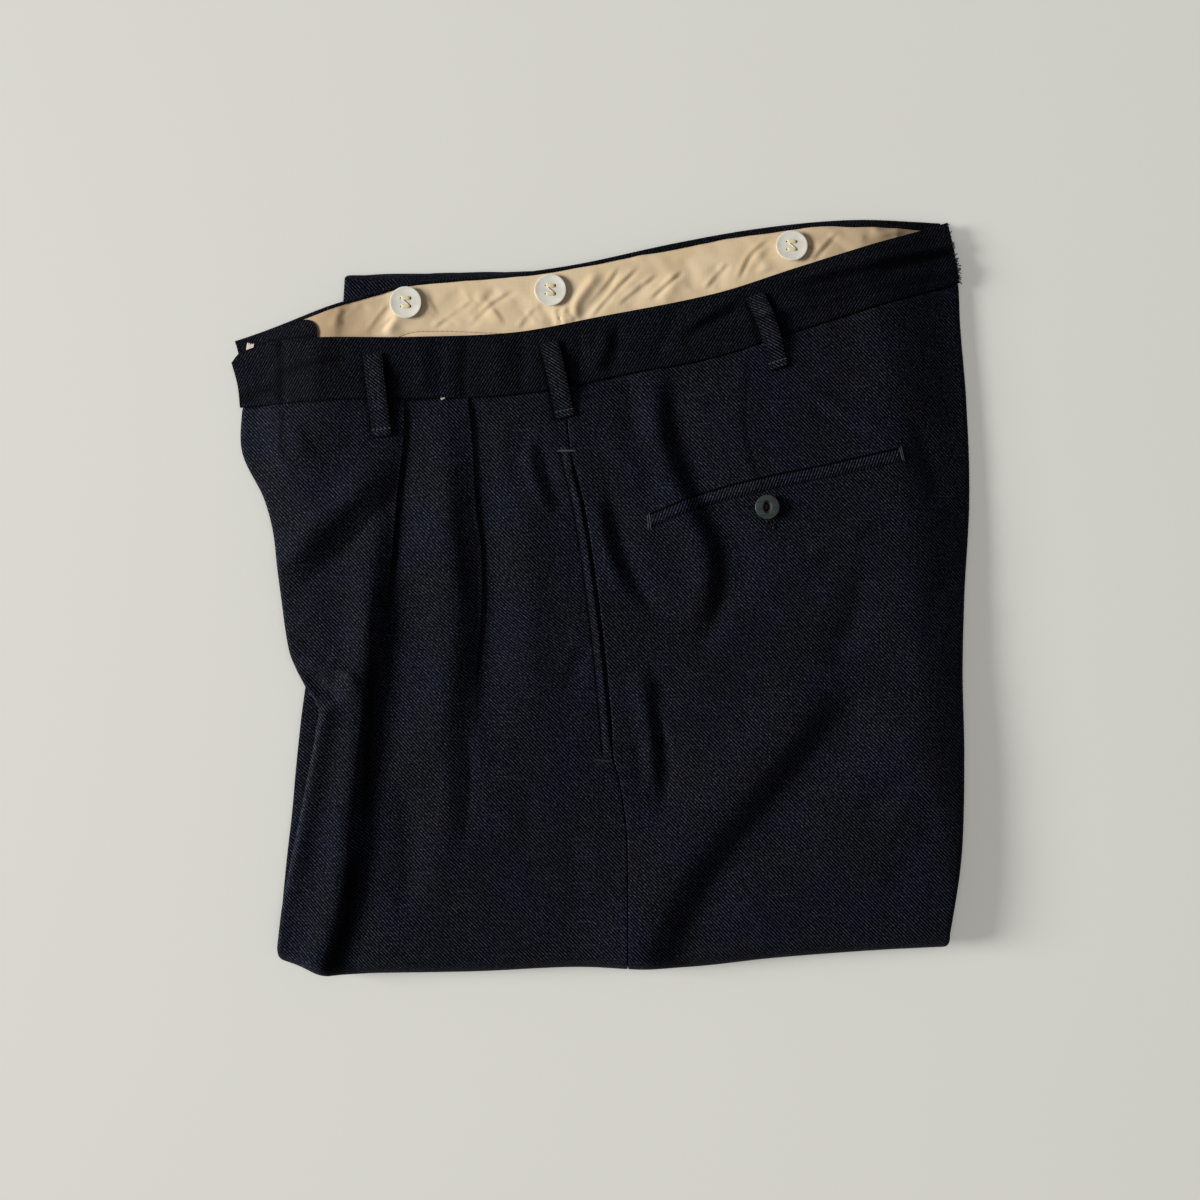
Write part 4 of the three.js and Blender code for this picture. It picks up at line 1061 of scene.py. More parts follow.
def close_holes(obj):
    """Closes a mesh's open ends with faces."""
    select_only(obj)
    bpy.ops.object.mode_set(mode="EDIT")
    bpy.ops.mesh.select_all(action="SELECT")
    bpy.ops.mesh.fill_holes(sides=0)
    bpy.ops.mesh.normals_make_consistent(inside=False)
    bpy.ops.object.mode_set(mode="OBJECT")


def side_pocket_facing():
    v = spaced(POCKET_TOP - POCKET_BOTTOM - 6, 2.0)[:, None]
    u = np.linspace(-0.5, 0.5, 13)[None, :]
    y = np.broadcast_to(mix(POCKET_TOP - 3, POCKET_BOTTOM + 3, v), (len(v), u.shape[1]))
    x = side_seam(y) + u * FACING_WIDTH
    edge = np.minimum(FACING_WIDTH / 2 - np.abs(x - side_seam(y)), 1.0)
    top = panel_surface(x, y) - CLOTH - 0.4
    return slab("side_pocket_facing_cloth", x, y, edge, top, top - 0.8)


def back_pocket_welt():
    """The welt, with painted shade in the mouth of the pocket over it and along its sunk seam under it."""
    high, low = WELT_HEIGHT / 2 + WELT_MOUTH, WELT_HEIGHT / 2 + WELT_SEAM
    u = spaced(WELT_LINE[-1][0] - WELT_LINE[0][0], 1.2)[None, :]
    v = spaced(high + low, 0.35)[:, None]
    x = np.broadcast_to(mix(WELT_LINE[0][0], WELT_LINE[-1][0], u), (len(v), u.shape[1]))
    above = mix(high, -low, v) + 0.25 * waves(x, 0, 9, 35)
    y = welt_middle(x) + above
    ends = np.minimum(x - WELT_LINE[0][0], WELT_LINE[-1][0] - x)
    strip = smooth(WELT_HEIGHT / 2 - above, 0, 0.5) * smooth(WELT_HEIGHT / 2 + above, 0, 1.2)
    strip = strip * smooth(ends, 0, 2)
    ground = back_surface(x, y)
    puff = 0.3 * np.cos(np.clip(above / WELT_HEIGHT, -0.5, 0.5) * math.pi) + 0.12 * waves(x, y, 12, 33)
    top = ground + 0.25 + strip * (0.55 + puff + 0.3 * (above / WELT_HEIGHT + 0.5))
    edge = np.minimum(np.minimum(high - above, low + above), ends)
    obj, outer = slab("back_pocket_welt_cloth", x, y, edge, top, ground - 0.6)
    # Painted shade: nearly black in the pocket's mouth, darker along the sunk seam
    mouth = smooth(above - WELT_HEIGHT / 2, -0.35, 0.15) * smooth(ends, -1, 3)
    seam = 0.75 * smooth(-above - WELT_HEIGHT / 2, -0.3, 0.2)
    paint(obj, "deep", np.maximum(mouth, seam))
    return obj, outer


def left_surface(x, y):
    """What the belt loops lie on: the waistband, or a panel below its seam."""
    on_band = band_surface(x, y)
    on_panel = front_surface(x, y)
    return np.where(y > waist_seam(x) - 3, np.maximum(on_band, on_panel), on_panel)


def loop_place(name, t, u):
    """The point of a belt loop at a share of its length and of its width, and its height."""
    width, top, bottom = LOOPS[name]
    top, along = np.array(top, float), np.array(bottom, float) - top
    across = np.array([-along[1], along[0]]) / np.hypot(*along)

    def at(t, u):
        aside = u * width + LOOP_BOW[name] * (1 - (2 * t - 1) ** 2)
        return top[0] + along[0] * t + across[0] * aside, top[1] + along[1] * t + across[1] * aside

    x, y = at(t, u)
    ground = np.max([left_surface(*at(t, side)) for side in (-0.5, -0.25, 0.0, 0.25, 0.5)], axis=0)
    lift = LOOP_SEAT + LOOP_GAP * smooth(t, 0.08, 0.3) * (1 - smooth(t, 0.62, 0.9))
    return x, y, ground + lift - 0.25


def belt_loop(name):
    width, top, bottom = LOOPS[name]
    length = math.dist(top, bottom)
    t, u = np.meshgrid(spaced(length, 0.8), spaced(width, 0.7) - 0.5, indexing="ij")
    x, y, under = loop_place(name, t, u)
    sides = (0.5 - np.abs(u)) * width
    ends = np.minimum(t, 1 - t) * length
    stitch_rows = 0.22 * bell(sides, LOOP_ROW_IN, 0.5)
    end_rows = 0.3 * bell((1 - t) * length, LOOP_END_UP, 0.5)
    crown = 0.28 * smooth(sides, 0, 3.5) + 0.08 * waves(x, y, 5, 101)
    high = under + LOOP_THICKNESS + 0.2 + crown - stitch_rows - end_rows
    grain = np.stack([u * width, -t * length], -1)
    obj, outer = slab(f"{name}_cloth", x, y, np.minimum(sides, ends), high, under, grain)
    # Painted shade along the loop's edges and painted highlight on its face
    paint(obj, "deep", 0.9 * (1 - smooth(np.minimum(sides, ends), 0.2, 0.9)) - 0.6 * smooth(sides, 0.6, 2.4))
    return obj, outer


# ---------------------------------------------------------------- materials


class Value:
    """What a node gives, with arithmetic that adds the nodes for it."""

    def __init__(self, nodes, socket):
        self.nodes, self.socket = nodes, socket

    def other(self, output):
        """Another output of the same node."""
        return Value(self.nodes, self.socket.node.outputs[output])

    def math(self, operation, *values, clamp=False):
        settings = {"operation": operation, "use_clamp": clamp}
        return self.nodes.add("ShaderNodeMath", settings, dict(enumerate((self, *values))))

    def __add__(self, value):
        return self.math("ADD", value)

    def __mul__(self, value):
        return self.math("MULTIPLY", value)

    def __rsub__(self, value):
        return (self * -1) + value

    __radd__ = __add__

    def wave(self):
        """A smooth wave from 0 to 1, once for each whole number."""
        return (self * (2 * math.pi)).math("SINE") * 0.5 + 0.5

    def ramp(self, low, high):
        """A soft step from 0 at low to 1 at high."""
        settings = {"interpolation_type": "SMOOTHSTEP"}
        inputs = {"Value": self, "From Min": low, "From Max": high}
        return self.nodes.add("ShaderNodeMapRange", settings, inputs)


class Nodes:
    """The nodes of one material."""

    def __init__(self, name):
        self.material = bpy.data.materials.new(name)
        self.material.use_nodes = True
        self.tree = self.material.node_tree
        self.tree.nodes.clear()

    def add(self, kind, settings=None, inputs=None, output=0):
        node = self.tree.nodes.new(kind)
        for key, value in (settings or {}).items():
            setattr(node, key, value)
        for key, value in (inputs or {}).items():
            if isinstance(value, Value):
                self.tree.links.new(value.socket, node.inputs[key])
            else:
                node.inputs[key].default_value = value
        return Value(self, node.outputs[output])

    def blend(self, first, second, share):
        """A colour between two colours."""
        return self.add("ShaderNodeMix", {"data_type": "RGBA"}, {0: share, 6: first, 7: second}, output=2)

    def brighter(self, colour, factor):
        """A colour times a number that changes over the surface."""
        return self.add("ShaderNodeVectorMath", {"operation": "SCALE"}, {0: colour, "Scale": factor})

    def noise(self, vector, scale, detail=2.0, roughness=0.5):
        inputs = {"Vector": vector, "Scale": scale, "Detail": detail, "Roughness": roughness}
        return self.add("ShaderNodeTexNoise", {}, inputs)

    def vector(self, x, y, z=0.0):
        return self.add("ShaderNodeCombineXYZ", {}, {0: x, 1: y, 2: z})

    def bump(self, height, distance, strength=1.0):
        return self.add("ShaderNodeBump", {}, {"Height": height, "Distance": distance, "Strength": strength})

    def finish(self, **inputs):
        named = {key.replace("_", " "): value for key, value in inputs.items()}
        shader = self.add("ShaderNodeBsdfPrincipled", {}, named)
        end = self.tree.nodes.new("ShaderNodeOutputMaterial")
        self.tree.links.new(shader.socket, end.inputs["Surface"])
        return self.material


def colour(rgb):
    return (*rgb, 1.0)


def suiting(name, look, lean=1.0, steep=1.0, depth=1.0):
    """Fine twill of navy and brown-black yarn; lean is -1 where the ribs run the other way, and depth scales
    the whole tone: below 1 as painted shade, above 1 as painted highlight.
    """
    n = Nodes(name)
    grain = n.add("ShaderNodeUVMap", {"uv_map": "grain"})
    u = n.add("ShaderNodeSeparateXYZ", {}, {0: grain})
    v = u.other(1)
    # deep holds painted shade where it is above 0 and painted highlight where it is below 0; on the waistband
    # it also lightens the rubbed back end
    deep = n.add("ShaderNodeAttribute", {"attribute_name": "deep"}, {}, output=2)
    waver = n.noise(grain, 90.0, 1.0) * 0.3
    rib = ((u * (steep / look.rib_spacing)) + (v * (lean / look.rib_spacing)) + waver).wave()
    floats = n.noise(n.vector(u * 700, v * 900), 1.0, 1.0)
    # Painted glints: small bright dashes on the yarn, added to the lighter ribs below
    painted_glint = n.noise(n.vector(u * 800, v * 1000, 5.0), 1.0, 1.0)
    yarn = n.noise(n.vector(u * 45, v * 1500), 1.0, 2.0)
    warp = n.noise(n.vector(u * 1500, v * 60, 7.0), 1.0, 2.0)
    slub = yarn.ramp(0.57, 0.72) + warp.ramp(0.6, 0.75) * 0.7
    blotch = n.noise(grain, 26.0, 3.0, 0.55)
    light = rib.ramp(0.35, 1.0) * (0.25 + floats.ramp(0.4, 0.6) * 0.75 + painted_glint.ramp(0.58, 0.7) * 1.4)
    ground = n.blend(colour(look.navy), colour(look.brown), blotch.ramp(0.3, 0.72))
    tone = (light * 2.5 + slub * 0.95 + (yarn + warp) * 0.06) * (1 - deep * 0.92) * depth
    base = n.brighter(ground, tone)
    height = rib * 0.8 + slub * 0.4 + floats * 0.4
    return n.finish(
        Base_Color=base,
        Roughness=0.7 - light * 0.06,
        Normal=n.bump(height, 0.0003, 1.0),
        Specular_IOR_Level=0.02,
        Specular_Tint=(0.75, 0.85, 1.0, 1.0),
        Sheen_Weight=look.sheen,
    )


def cotton(look):
    """Plain-woven cream cotton, a little yellowed, and pinker below its stitched seam."""
    n = Nodes("cotton_lining")
    grain = n.add("ShaderNodeUVMap", {"uv_map": "grain"})
    u = n.add("ShaderNodeSeparateXYZ", {}, {0: grain})
    v = u.other(1)
    curtain = n.add("ShaderNodeAttribute", {"attribute_name": "curtain"}, {}, output=2)
    weave = (u * 1900).wave() * 0.5 + (v * 1900).wave() * 0.5
    thread = n.noise(n.vector(u * 80, v * 1500), 1.0, 2.0)
    thread = thread + n.noise(n.vector(u * 1500, v * 80, 3.0), 1.0, 2.0)
    stain = n.noise(grain, 34.0, 3.0, 0.6)
    cream = n.blend(colour(look.cream), colour(look.cream_shade), stain.ramp(0.4, 0.68) * 0.7)
    cream = n.blend(cream, colour(look.curtain), curtain * 0.6)
    # Browner and darker towards both ends of the lining, and at the rust spot
    darker_ends_and_rust = n.add("ShaderNodeAttribute", {"attribute_name": "darker_ends_and_rust"}, {}, output=2)
    cream = n.blend(cream, colour((0.34, 0.24, 0.145)), darker_ends_and_rust)
    base = n.brighter(cream, 0.9 + thread * 0.1 + weave * 0.03)
    height = weave * 0.5 + thread * 0.5
    return n.finish(
        Base_Color=base,
        Roughness=0.88,
        Normal=n.bump(height, 0.00009, 0.6),
        Specular_IOR_Level=0.2,
    )


def white_button(look):
    n = Nodes("white_button")
    place = n.add("ShaderNodeTexCoord", {}, {}, output=3)
    cloud = n.noise(place, 160.0, 3.0)
    base = n.blend(colour(look.button), colour([c * 0.86 for c in look.button]), cloud.ramp(0.35, 0.7))
    wear = n.noise(place, 900.0, 2.0)
    return n.finish(Base_Color=base, Roughness=0.28 + wear * 0.2, Normal=n.bump(wear, 0.00003, 0.4))


def slate_button(look):
    n = Nodes("slate_button")
    place = n.add("ShaderNodeTexCoord", {}, {}, output=3)
    part = n.add("ShaderNodeSeparateXYZ", {}, {0: place})
    streak = n.noise(n.vector(part * 240, part.other(1) * 900, part.other(2) * 240), 1.0, 4.0)
    recess = n.add("ShaderNodeAttribute", {"attribute_name": "recess"}, {}, output=2)
    rim = n.blend(colour(look.slate), colour([c * 1.6 for c in look.slate]), streak.ramp(0.35, 0.75))
    # Painted shade: the dished middle is nearly black
    base = n.blend(rim, colour([c * 0.08 for c in look.slate]), recess)
    return n.finish(
        Base_Color=base,
        Roughness=0.3 + streak * 0.15 + recess * 0.3,
        Normal=n.bump(streak, 0.00003, 0.3),
        Specular_IOR_Level=0.25,
    )


def thread(name, rgb):
    n = Nodes(name)
    place = n.add("ShaderNodeTexCoord", {}, {}, output=3)
    fibre = n.noise(place, 3500.0, 2.0)
    base = n.brighter(n.blend(colour(rgb), colour([c * 0.7 for c in rgb]), fibre), 0.8 + fibre * 0.4)
    return n.finish(
        Base_Color=base,
        Roughness=0.75,
        Normal=n.bump(fibre, 0.00008, 0.6),
        Specular_IOR_Level=0.08,
    )


def table_top(look):
    n = Nodes("table_top")
    place = n.add("ShaderNodeTexCoord", {}, {}, output=3)
    cloud = n.noise(place, 1.6, 2.0)
    base = n.brighter(look.table, 0.985 + cloud * 0.03)
    fine = n.noise(place, 700.0, 2.0)
    return n.finish(
        Base_Color=base,
        Roughness=0.62,
        Normal=n.bump(fine, 0.00002, 0.2),
        Specular_IOR_Level=0.25,
    )


THREADS = {
    "cream_thread": (0.72, 0.62, 0.42),
    "dark_thread": (0.003, 0.003, 0.005),
    "grey_thread": (0.055, 0.056, 0.06),
    "faded_thread": (0.07, 0.072, 0.08),
    "brown_thread": (0.034, 0.030, 0.029),
    "tan_thread": (0.27, 0.165, 0.10),
    "white_thread": (0.62, 0.55, 0.52),
}


def material(name, make, *arguments):
    """The finish of a name, made the first time it is asked for."""
    known = bpy.data.materials.get(name)
    return known or make(*arguments)


def sew(name, places, yarn, slot="suiting", matrix=None):
    """A piece of sewing from the places of its stitches, in one of the threads."""
    obj = sewn(name, places)
    if matrix is not None:
        obj.data.transform(matrix_from_middle(matrix))
    return dress(obj, material(yarn, thread, yarn, THREADS[yarn]), slot)


def dress(obj, finish, slot, *nodes):
    """Gives a piece its finish, the nodes it stands for and the body it rides on; slot is not used."""
    obj.data.materials.clear()
    obj.data.materials.append(finish)
    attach(obj, "root")
    if nodes:
        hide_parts(*nodes)
    return obj


def cloth_sheet(outer):
    """Works out the width, length and area of a piece's cloth, cut to what shows of it; nothing uses them."""
    width = np.linalg.norm(np.diff(outer, axis=1), axis=-1).sum(1).max() * MM
    length = np.linalg.norm(np.diff(outer, axis=0), axis=-1).sum(0).max() * MM
    length = max(length, 0.0101)
    area = min(cloth_area(outer), width * length)


def cloth_piece(made, finish, slot="suiting"):
    """Dresses a piece in the place of the node it is named after, and works out the size of its sheet."""
    obj, outer = made
    dress(obj, finish, slot, obj.name.removesuffix("_cloth"))
    cloth_sheet(outer)


# ---------------------------------------------------------------- buttons and thread


def pick(obj, kind, test):
    """Selects the faces or edges of a mesh whose middle passes a test, and goes to edit mode."""
    bpy.ops.object.mode_set(mode="OBJECT")
    mesh = obj.data
    for group in (mesh.vertices, mesh.edges, mesh.polygons):
        group.foreach_set("select", [False] * len(group))
    if kind == "FACE":
        for face in mesh.polygons:
            face.select = test(face.center, face.normal)
    else:
        for edge in mesh.edges:
            ends = [mesh.vertices[i].co for i in edge.vertices]
            edge.select = test((ends[0] + ends[1]) / 2, ends[1] - ends[0])
    bpy.ops.object.mode_set(mode="EDIT")
    bpy.ops.mesh.select_mode(type=kind)


def disc(name, size, dish, depth, oval=1.0):
    """A round button blank with a rim and a dished middle, round or oval, standing on z = 0."""
    radius, thickness = size[0] / 2 * MM, size[1] * MM
    bpy.ops.object.select_all(action="DESELECT")
    location = (0, 0, thickness / 2)
    bpy.ops.mesh.primitive_cylinder_add(vertices=56, radius=radius, depth=thickness, location=location)
    obj = bpy.context.object
    obj.name = obj.data.name = name
    bpy.ops.object.transform_apply(location=True)
    pick(obj, "FACE", lambda centre, normal: normal.z > 0.9)
    bpy.ops.mesh.inset(thickness=radius * (1 - dish))
    bpy.ops.transform.resize(value=(oval, 1, 1))
    bpy.ops.mesh.inset(thickness=radius * 0.1)
    bpy.ops.transform.translate(value=(0, 0, -depth * thickness))
    bpy.ops.mesh.inset(thickness=radius * 0.2 * oval**2)
    bpy.ops.transform.translate(value=(0, 0, -0.06 * thickness))
    pick(obj, "FACE", lambda centre, normal: normal.z < -0.9)
    bpy.ops.transform.resize(value=(0.78, 0.78, 1))
    top = thickness * 0.99
    pick(obj, "EDGE", lambda centre, way: centre.xy.length > radius * 0.97 and centre.z > top)
    bpy.ops.mesh.bevel(offset=0.24 * thickness, segments=4, affect="EDGES")
    rim = radius * dish

    def on_dish(centre, way):
        return 0.98 * rim < math.hypot(centre.x / oval, centre.y) < 1.01 * rim and centre.z > top

    pick(obj, "EDGE", on_dish)
    bpy.ops.mesh.bevel(offset=0.14 * thickness, segments=3, affect="EDGES")
    bpy.ops.object.mode_set(mode="OBJECT")
    return obj


def apply_modifier(obj, kind, **settings):
    modifier = obj.modifiers.new(kind.title(), kind)
    for key, value in settings.items():
        setattr(modifier, key, value)
    select_only(obj)
    bpy.ops.object.modifier_apply(modifier=modifier.name)


def drill(obj, places, hole, depth):
    """Cuts round holes through a button."""
    for x, y in places:
        bpy.ops.object.select_all(action="DESELECT")
        location = (x * MM, y * MM, depth * MM / 2)
        size = {"radius": hole / 2 * MM, "depth": 4 * depth * MM}
        bpy.ops.mesh.primitive_cylinder_add(vertices=20, location=location, **size)
        cutter = bpy.context.object
        apply_modifier(obj, "BOOLEAN", operation="DIFFERENCE", object=cutter, solver="EXACT")
        bpy.data.objects.remove(cutter)
    select_only(obj)
    bpy.ops.object.shade_smooth_by_angle(angle=math.radians(38))


def on_surface(surface, x, y, radius, lift):
    """A matrix that sets a piece down at a place, tilted with the surface there."""
    slope_x = (surface(x + radius, y) - surface(x - radius, y)) / (2 * radius)
    slope_y = (surface(x, y + radius) - surface(x, y - radius)) / (2 * radius)
    up = Vector((-float(slope_x), -float(slope_y), 1)).normalized()
    matrix = Vector((0, 0, 1)).rotation_difference(up).to_matrix().to_4x4()
    place = Vector((x, y, float(surface(x, y)))) + up * lift - Vector(MIDDLE)
    matrix.translation = place * MM
    return matrix


def lining_plane(x, y):
    return stack_rise(x, y) + LINING_TOP


def seat_plane(x, y):
    return panel_surface(x, y) + 0.9


def stitch_grain():
    """One short length of thread along X, one unit long, wide and high."""
    bpy.ops.object.select_all(action="DESELECT")
    bpy.ops.mesh.primitive_uv_sphere_add(segments=8, ring_count=6, radius=0.5, rotation=(0, math.pi / 2, 0))
    obj = bpy.context.object
    bpy.ops.object.transform_apply(rotation=True)
    pick(obj, "FACE", lambda centre, normal: abs(centre.x) > 0.2)
    bpy.ops.transform.resize(value=(1, 1.35, 1.35))
    bpy.ops.object.mode_set(mode="OBJECT")
    points = np.array([v.co for v in obj.data.vertices])
    faces = [tuple(face.vertices) for face in obj.data.polygons]
    bpy.data.objects.remove(obj)
    return points, faces


def sewn(name, places):
    """Copies of one length of thread. Each place is its two ends, its width and its height."""
    grain, faces = stitch_grain()
    points, all_faces = [], []
    for start, end, width, height in places:
        start, end = np.array(start, float), np.array(end, float)
        along = end - start
        length = np.linalg.norm(along)
        along = along / length
        side = np.cross([0, 0, 1], along)
        side /= max(np.linalg.norm(side), 1e-6)
        up = np.cross(along, side)
        axes = np.stack([along * length, side * width, up * height])
        all_faces += [tuple(i + len(points) * len(grain) for i in face) for face in faces]
        points.append(grain @ axes + (start + end) / 2)
    mesh = bpy.data.meshes.new(name)
    mesh.from_pydata(((np.concatenate(points) - MIDDLE) * MM).tolist(), [], all_faces)
    obj = bpy.data.objects.new(name, mesh)
    bpy.context.scene.collection.objects.link(obj)
    select_only(obj)
    bpy.ops.object.shade_smooth_by_angle(angle=math.radians(60))
    return obj


def running(path, surface, stitch, gap, width, sink=0.0, waver=0.12, seed=1):
    """Places of a row of stitches along a path on a surface."""
    path = softened(path, 12)
    length = way_along(path)
    starts = np.arange(0, length[-1] - stitch, stitch + gap)
    jitter = np.random.default_rng(seed).uniform(-waver, waver, (len(starts), 2))
    places = []
    for at, (near, far) in zip(starts, jitter):
        ends = []
        for t, off in ((at, near), (at + stitch, far)):
            x = np.interp(t, length, path[:, 0]) + off
            y = np.interp(t, length, path[:, 1]) + off
            ends.append((x, y, float(surface(x, y)) - sink))
        places.append((*ends, width, width * 0.7))
    return places


def bar_tack(centre, along, count, spread, surface, width=0.42, lift=0.15, seed=2):
    """Places of strands side by side across a bar; along is the strand's length and direction."""
    random = np.random.default_rng(seed)
    along = np.array(along, float)
    across = np.array([-along[1], along[0]]) / np.hypot(*along)
    places = []
    for i in range(count):
        middle = np.array(centre) + across * spread * (i / max(count - 1, 1) - 0.5)
        half = along * random.uniform(0.42, 0.54)
        turn = across * random.uniform(-0.18, 0.18)
        ends = [middle - half - turn, middle + half + turn]
        places.append((*[(x, y, float(surface(x, y)) + lift) for x, y in ends], width, width))
    return places


def loop_point(name, along, u, lift):
    """A point on a belt loop, at a length down it, for a stitch."""
    _, top, bottom = LOOPS[name]
    x, y, under = loop_place(name, along / math.dist(top, bottom), u)
    return float(x), float(y), float(under) + LOOP_THICKNESS + lift


def loop_stitches(stitch, width):
    """Places of the rows down both sides of each belt loop, and of those across its lower end."""
    rows, ends = [], []
    for name, (loop_width, top, bottom) in LOOPS.items():
        length = math.dist(top, bottom)
        for side in (-1, 1):
            u = side * (0.5 - LOOP_ROW_IN / loop_width)
            for t in np.arange(1.5, length - 2, stitch + STITCH_GAP):
                rows.append((*[loop_point(name, at, u, 0.35) for at in (t, t + stitch)], width, width * 0.7))
        for u in np.linspace(-0.4, 0.4, 5):
            pair = [loop_point(name, length - LOOP_END_UP, u + du, 0.3) for du in (-0.07, 0.07)]
            ends.append((*pair, width * 1.2, width))
    return rows, ends


def frayed_places():
    """Places of the loose yarns at the waistband's rubbed, frayed back end."""
    random = np.random.default_rng(83)
    places = []
    for k in range(54):
        y = random.uniform(180, 194) if k % 3 else random.uniform(194, 211)
        x = float(back_edge(y)) - 0.8
        height = float(band_surface(x, y)) - random.uniform(0.3, 1.8)
        out = random.uniform(1.0, 2.8 if k % 3 else 1.8)
        far = (x + out, y + random.uniform(-2.4, 2.4), height + random.uniform(-0.6, 0.4))
        places.append(((x, y, height), far, 0.5, 0.4))
    return places


# ---------------------------------------------------------------- what a user can change


def colour_setting(name, description, default):
    return FloatVectorProperty(
        name=name, description=description, subtype="COLOR", min=0, max=1, default=default
    )


class SlacksClothSettings(bpy.types.PropertyGroup):
    """Colours and finish of the cloth."""

    navy: colour_setting("Navy yarn", "Bluer colour of the suiting", (0.0082, 0.0099, 0.0176))
    brown: colour_setting("Brown yarn", "Browner colour of the suiting", (0.0092, 0.0093, 0.0124))
    rib_spacing: FloatProperty(
        name="Rib spacing", description="Distance between twill ribs, measured across the width of the cloth",
        default=0.0021, min=0.0005, max=0.01, unit="LENGTH",
    )
    sheen: FloatProperty(
        name="Sheen", description="Soft light on the fibres of the suiting", default=0.01, min=0, max=1,
        subtype="FACTOR",
    )
    cream: colour_setting("Cream cotton", "Main colour of the lining", (0.570, 0.451, 0.299))
    cream_shade: colour_setting("Yellowed cotton", "Darker colour of the lining", (0.52, 0.385, 0.23))
    curtain: colour_setting("Lower lining", "Colour of the lining below its seam", (0.53, 0.37, 0.25))


class SlacksTrimSettings(bpy.types.PropertyGroup):
    """Colours and sizes of buttons and thread."""

    button: colour_setting("Brace buttons", "Colour of the buttons inside the waistband", (0.62, 0.60, 0.535))
    slate: colour_setting("Pocket button", "Colour of the back pocket's button", (0.019, 0.026, 0.025))
    thread_width: FloatProperty(
        name="Thread width", description="Width of the sewing thread", default=0.00042, min=0.0001, max=0.002,
        unit="LENGTH",
    )
    stitch_length: FloatProperty(
        name="Stitch length", description="Length of one stitch", default=0.0022, min=0.001, max=0.006,
        unit="LENGTH",
    )


class SlacksStageSettings(bpy.types.PropertyGroup):
    """Table, lights and camera."""

    table: colour_setting("Table", "Colour of the table", (0.345, 0.343, 0.326))
    key_power: FloatProperty(
        name="Key light", description="Power of the window light from the left",
        default=1600.0, min=0, unit="POWER",
    )
    ceiling_power: FloatProperty(
        name="Ceiling light", description="Power of the light over the table",
        default=320.0, min=0, unit="POWER",
    )
    fill: FloatProperty(name="Fill", description="Strength of the light from all round", default=0.24, min=0)
    camera_height: FloatProperty(
        name="Camera height", description="Height of the camera over the table", default=0.9, min=0.2,
        unit="LENGTH",
    )
    lens: FloatProperty(
        name="Lens", description="Focal length of the camera", default=47.14, min=10, unit="CAMERA",
    )


# ---------------------------------------------------------------- operators


def cloth_look():
    return bpy.context.scene.slacks_cloth


def trim_look():
    return bpy.context.scene.slacks_trim


def panel_suiting():
    return material("twill_along", suiting, "twill_along", cloth_look())


def band_suiting():
    # A darker copy of the suiting: painted shade for the band, whose ribs run across and reflect less light
    return material("twill_across", suiting, "twill_across", cloth_look(), -0.75, 1.25, 0.62)


def welt_suiting():
    # A lighter copy of the suiting: painted highlight on the welt
    return material("twill_steep", suiting, "twill_steep", cloth_look(), -0.5, 1.3, 1.25)


class SLACKS_OT_hidden_layers(bpy.types.Operator):
    """Make the folded legs and the right side, which lie under the left side"""

    bl_idname = "slacks.hidden_layers"
    bl_label = "Hidden layers"

    def execute(self, context):
        legs = dress(folded_legs(), panel_suiting(), "suiting", "folded_legs")
        cloth_piece(right_half(), panel_suiting())
        return {"FINISHED"}


class SLACKS_OT_panels(bpy.types.Operator):
    """Make the left front with its pleats and the left back with its dart"""

    bl_idname = "slacks.panels"
    bl_label = "Front and back"

    def execute(self, context):
        cloth_piece(front_left(), panel_suiting())
        cloth_piece(back_left(), panel_suiting())
        return {"FINISHED"}


class SLACKS_OT_waist(bpy.types.Operator):
    """Make the two halves of the waistband, the lining and the fly extension"""

    bl_idname = "slacks.waist"
    bl_label = "Waist"

    def execute(self, context):
        cloth_piece(waistband_left(), band_suiting())
        cloth_piece(waistband_right(), band_suiting())
        lining = material("cotton_lining", cotton, cloth_look())
        cloth_piece(waistband_lining(), lining, "lining")
        cloth_piece(fly_extension(), band_suiting())
        return {"FINISHED"}


class SLACKS_OT_pockets(bpy.types.Operator):
    """Make the strip behind the side pocket's slit and the welt of the back pocket"""

    bl_idname = "slacks.pockets"
    bl_label = "Pockets"

    def execute(self, context):
        cloth_piece(side_pocket_facing(), panel_suiting())
        cloth_piece(back_pocket_welt(), welt_suiting())
        return {"FINISHED"}


class SLACKS_OT_belt_loops(bpy.types.Operator):
    """Make the three belt loops of the left side"""

    bl_idname = "slacks.belt_loops"
    bl_label = "Belt loops"

    def execute(self, context):
        for name in LOOPS:
            cloth_piece(belt_loop(name), panel_suiting())
        return {"FINISHED"}


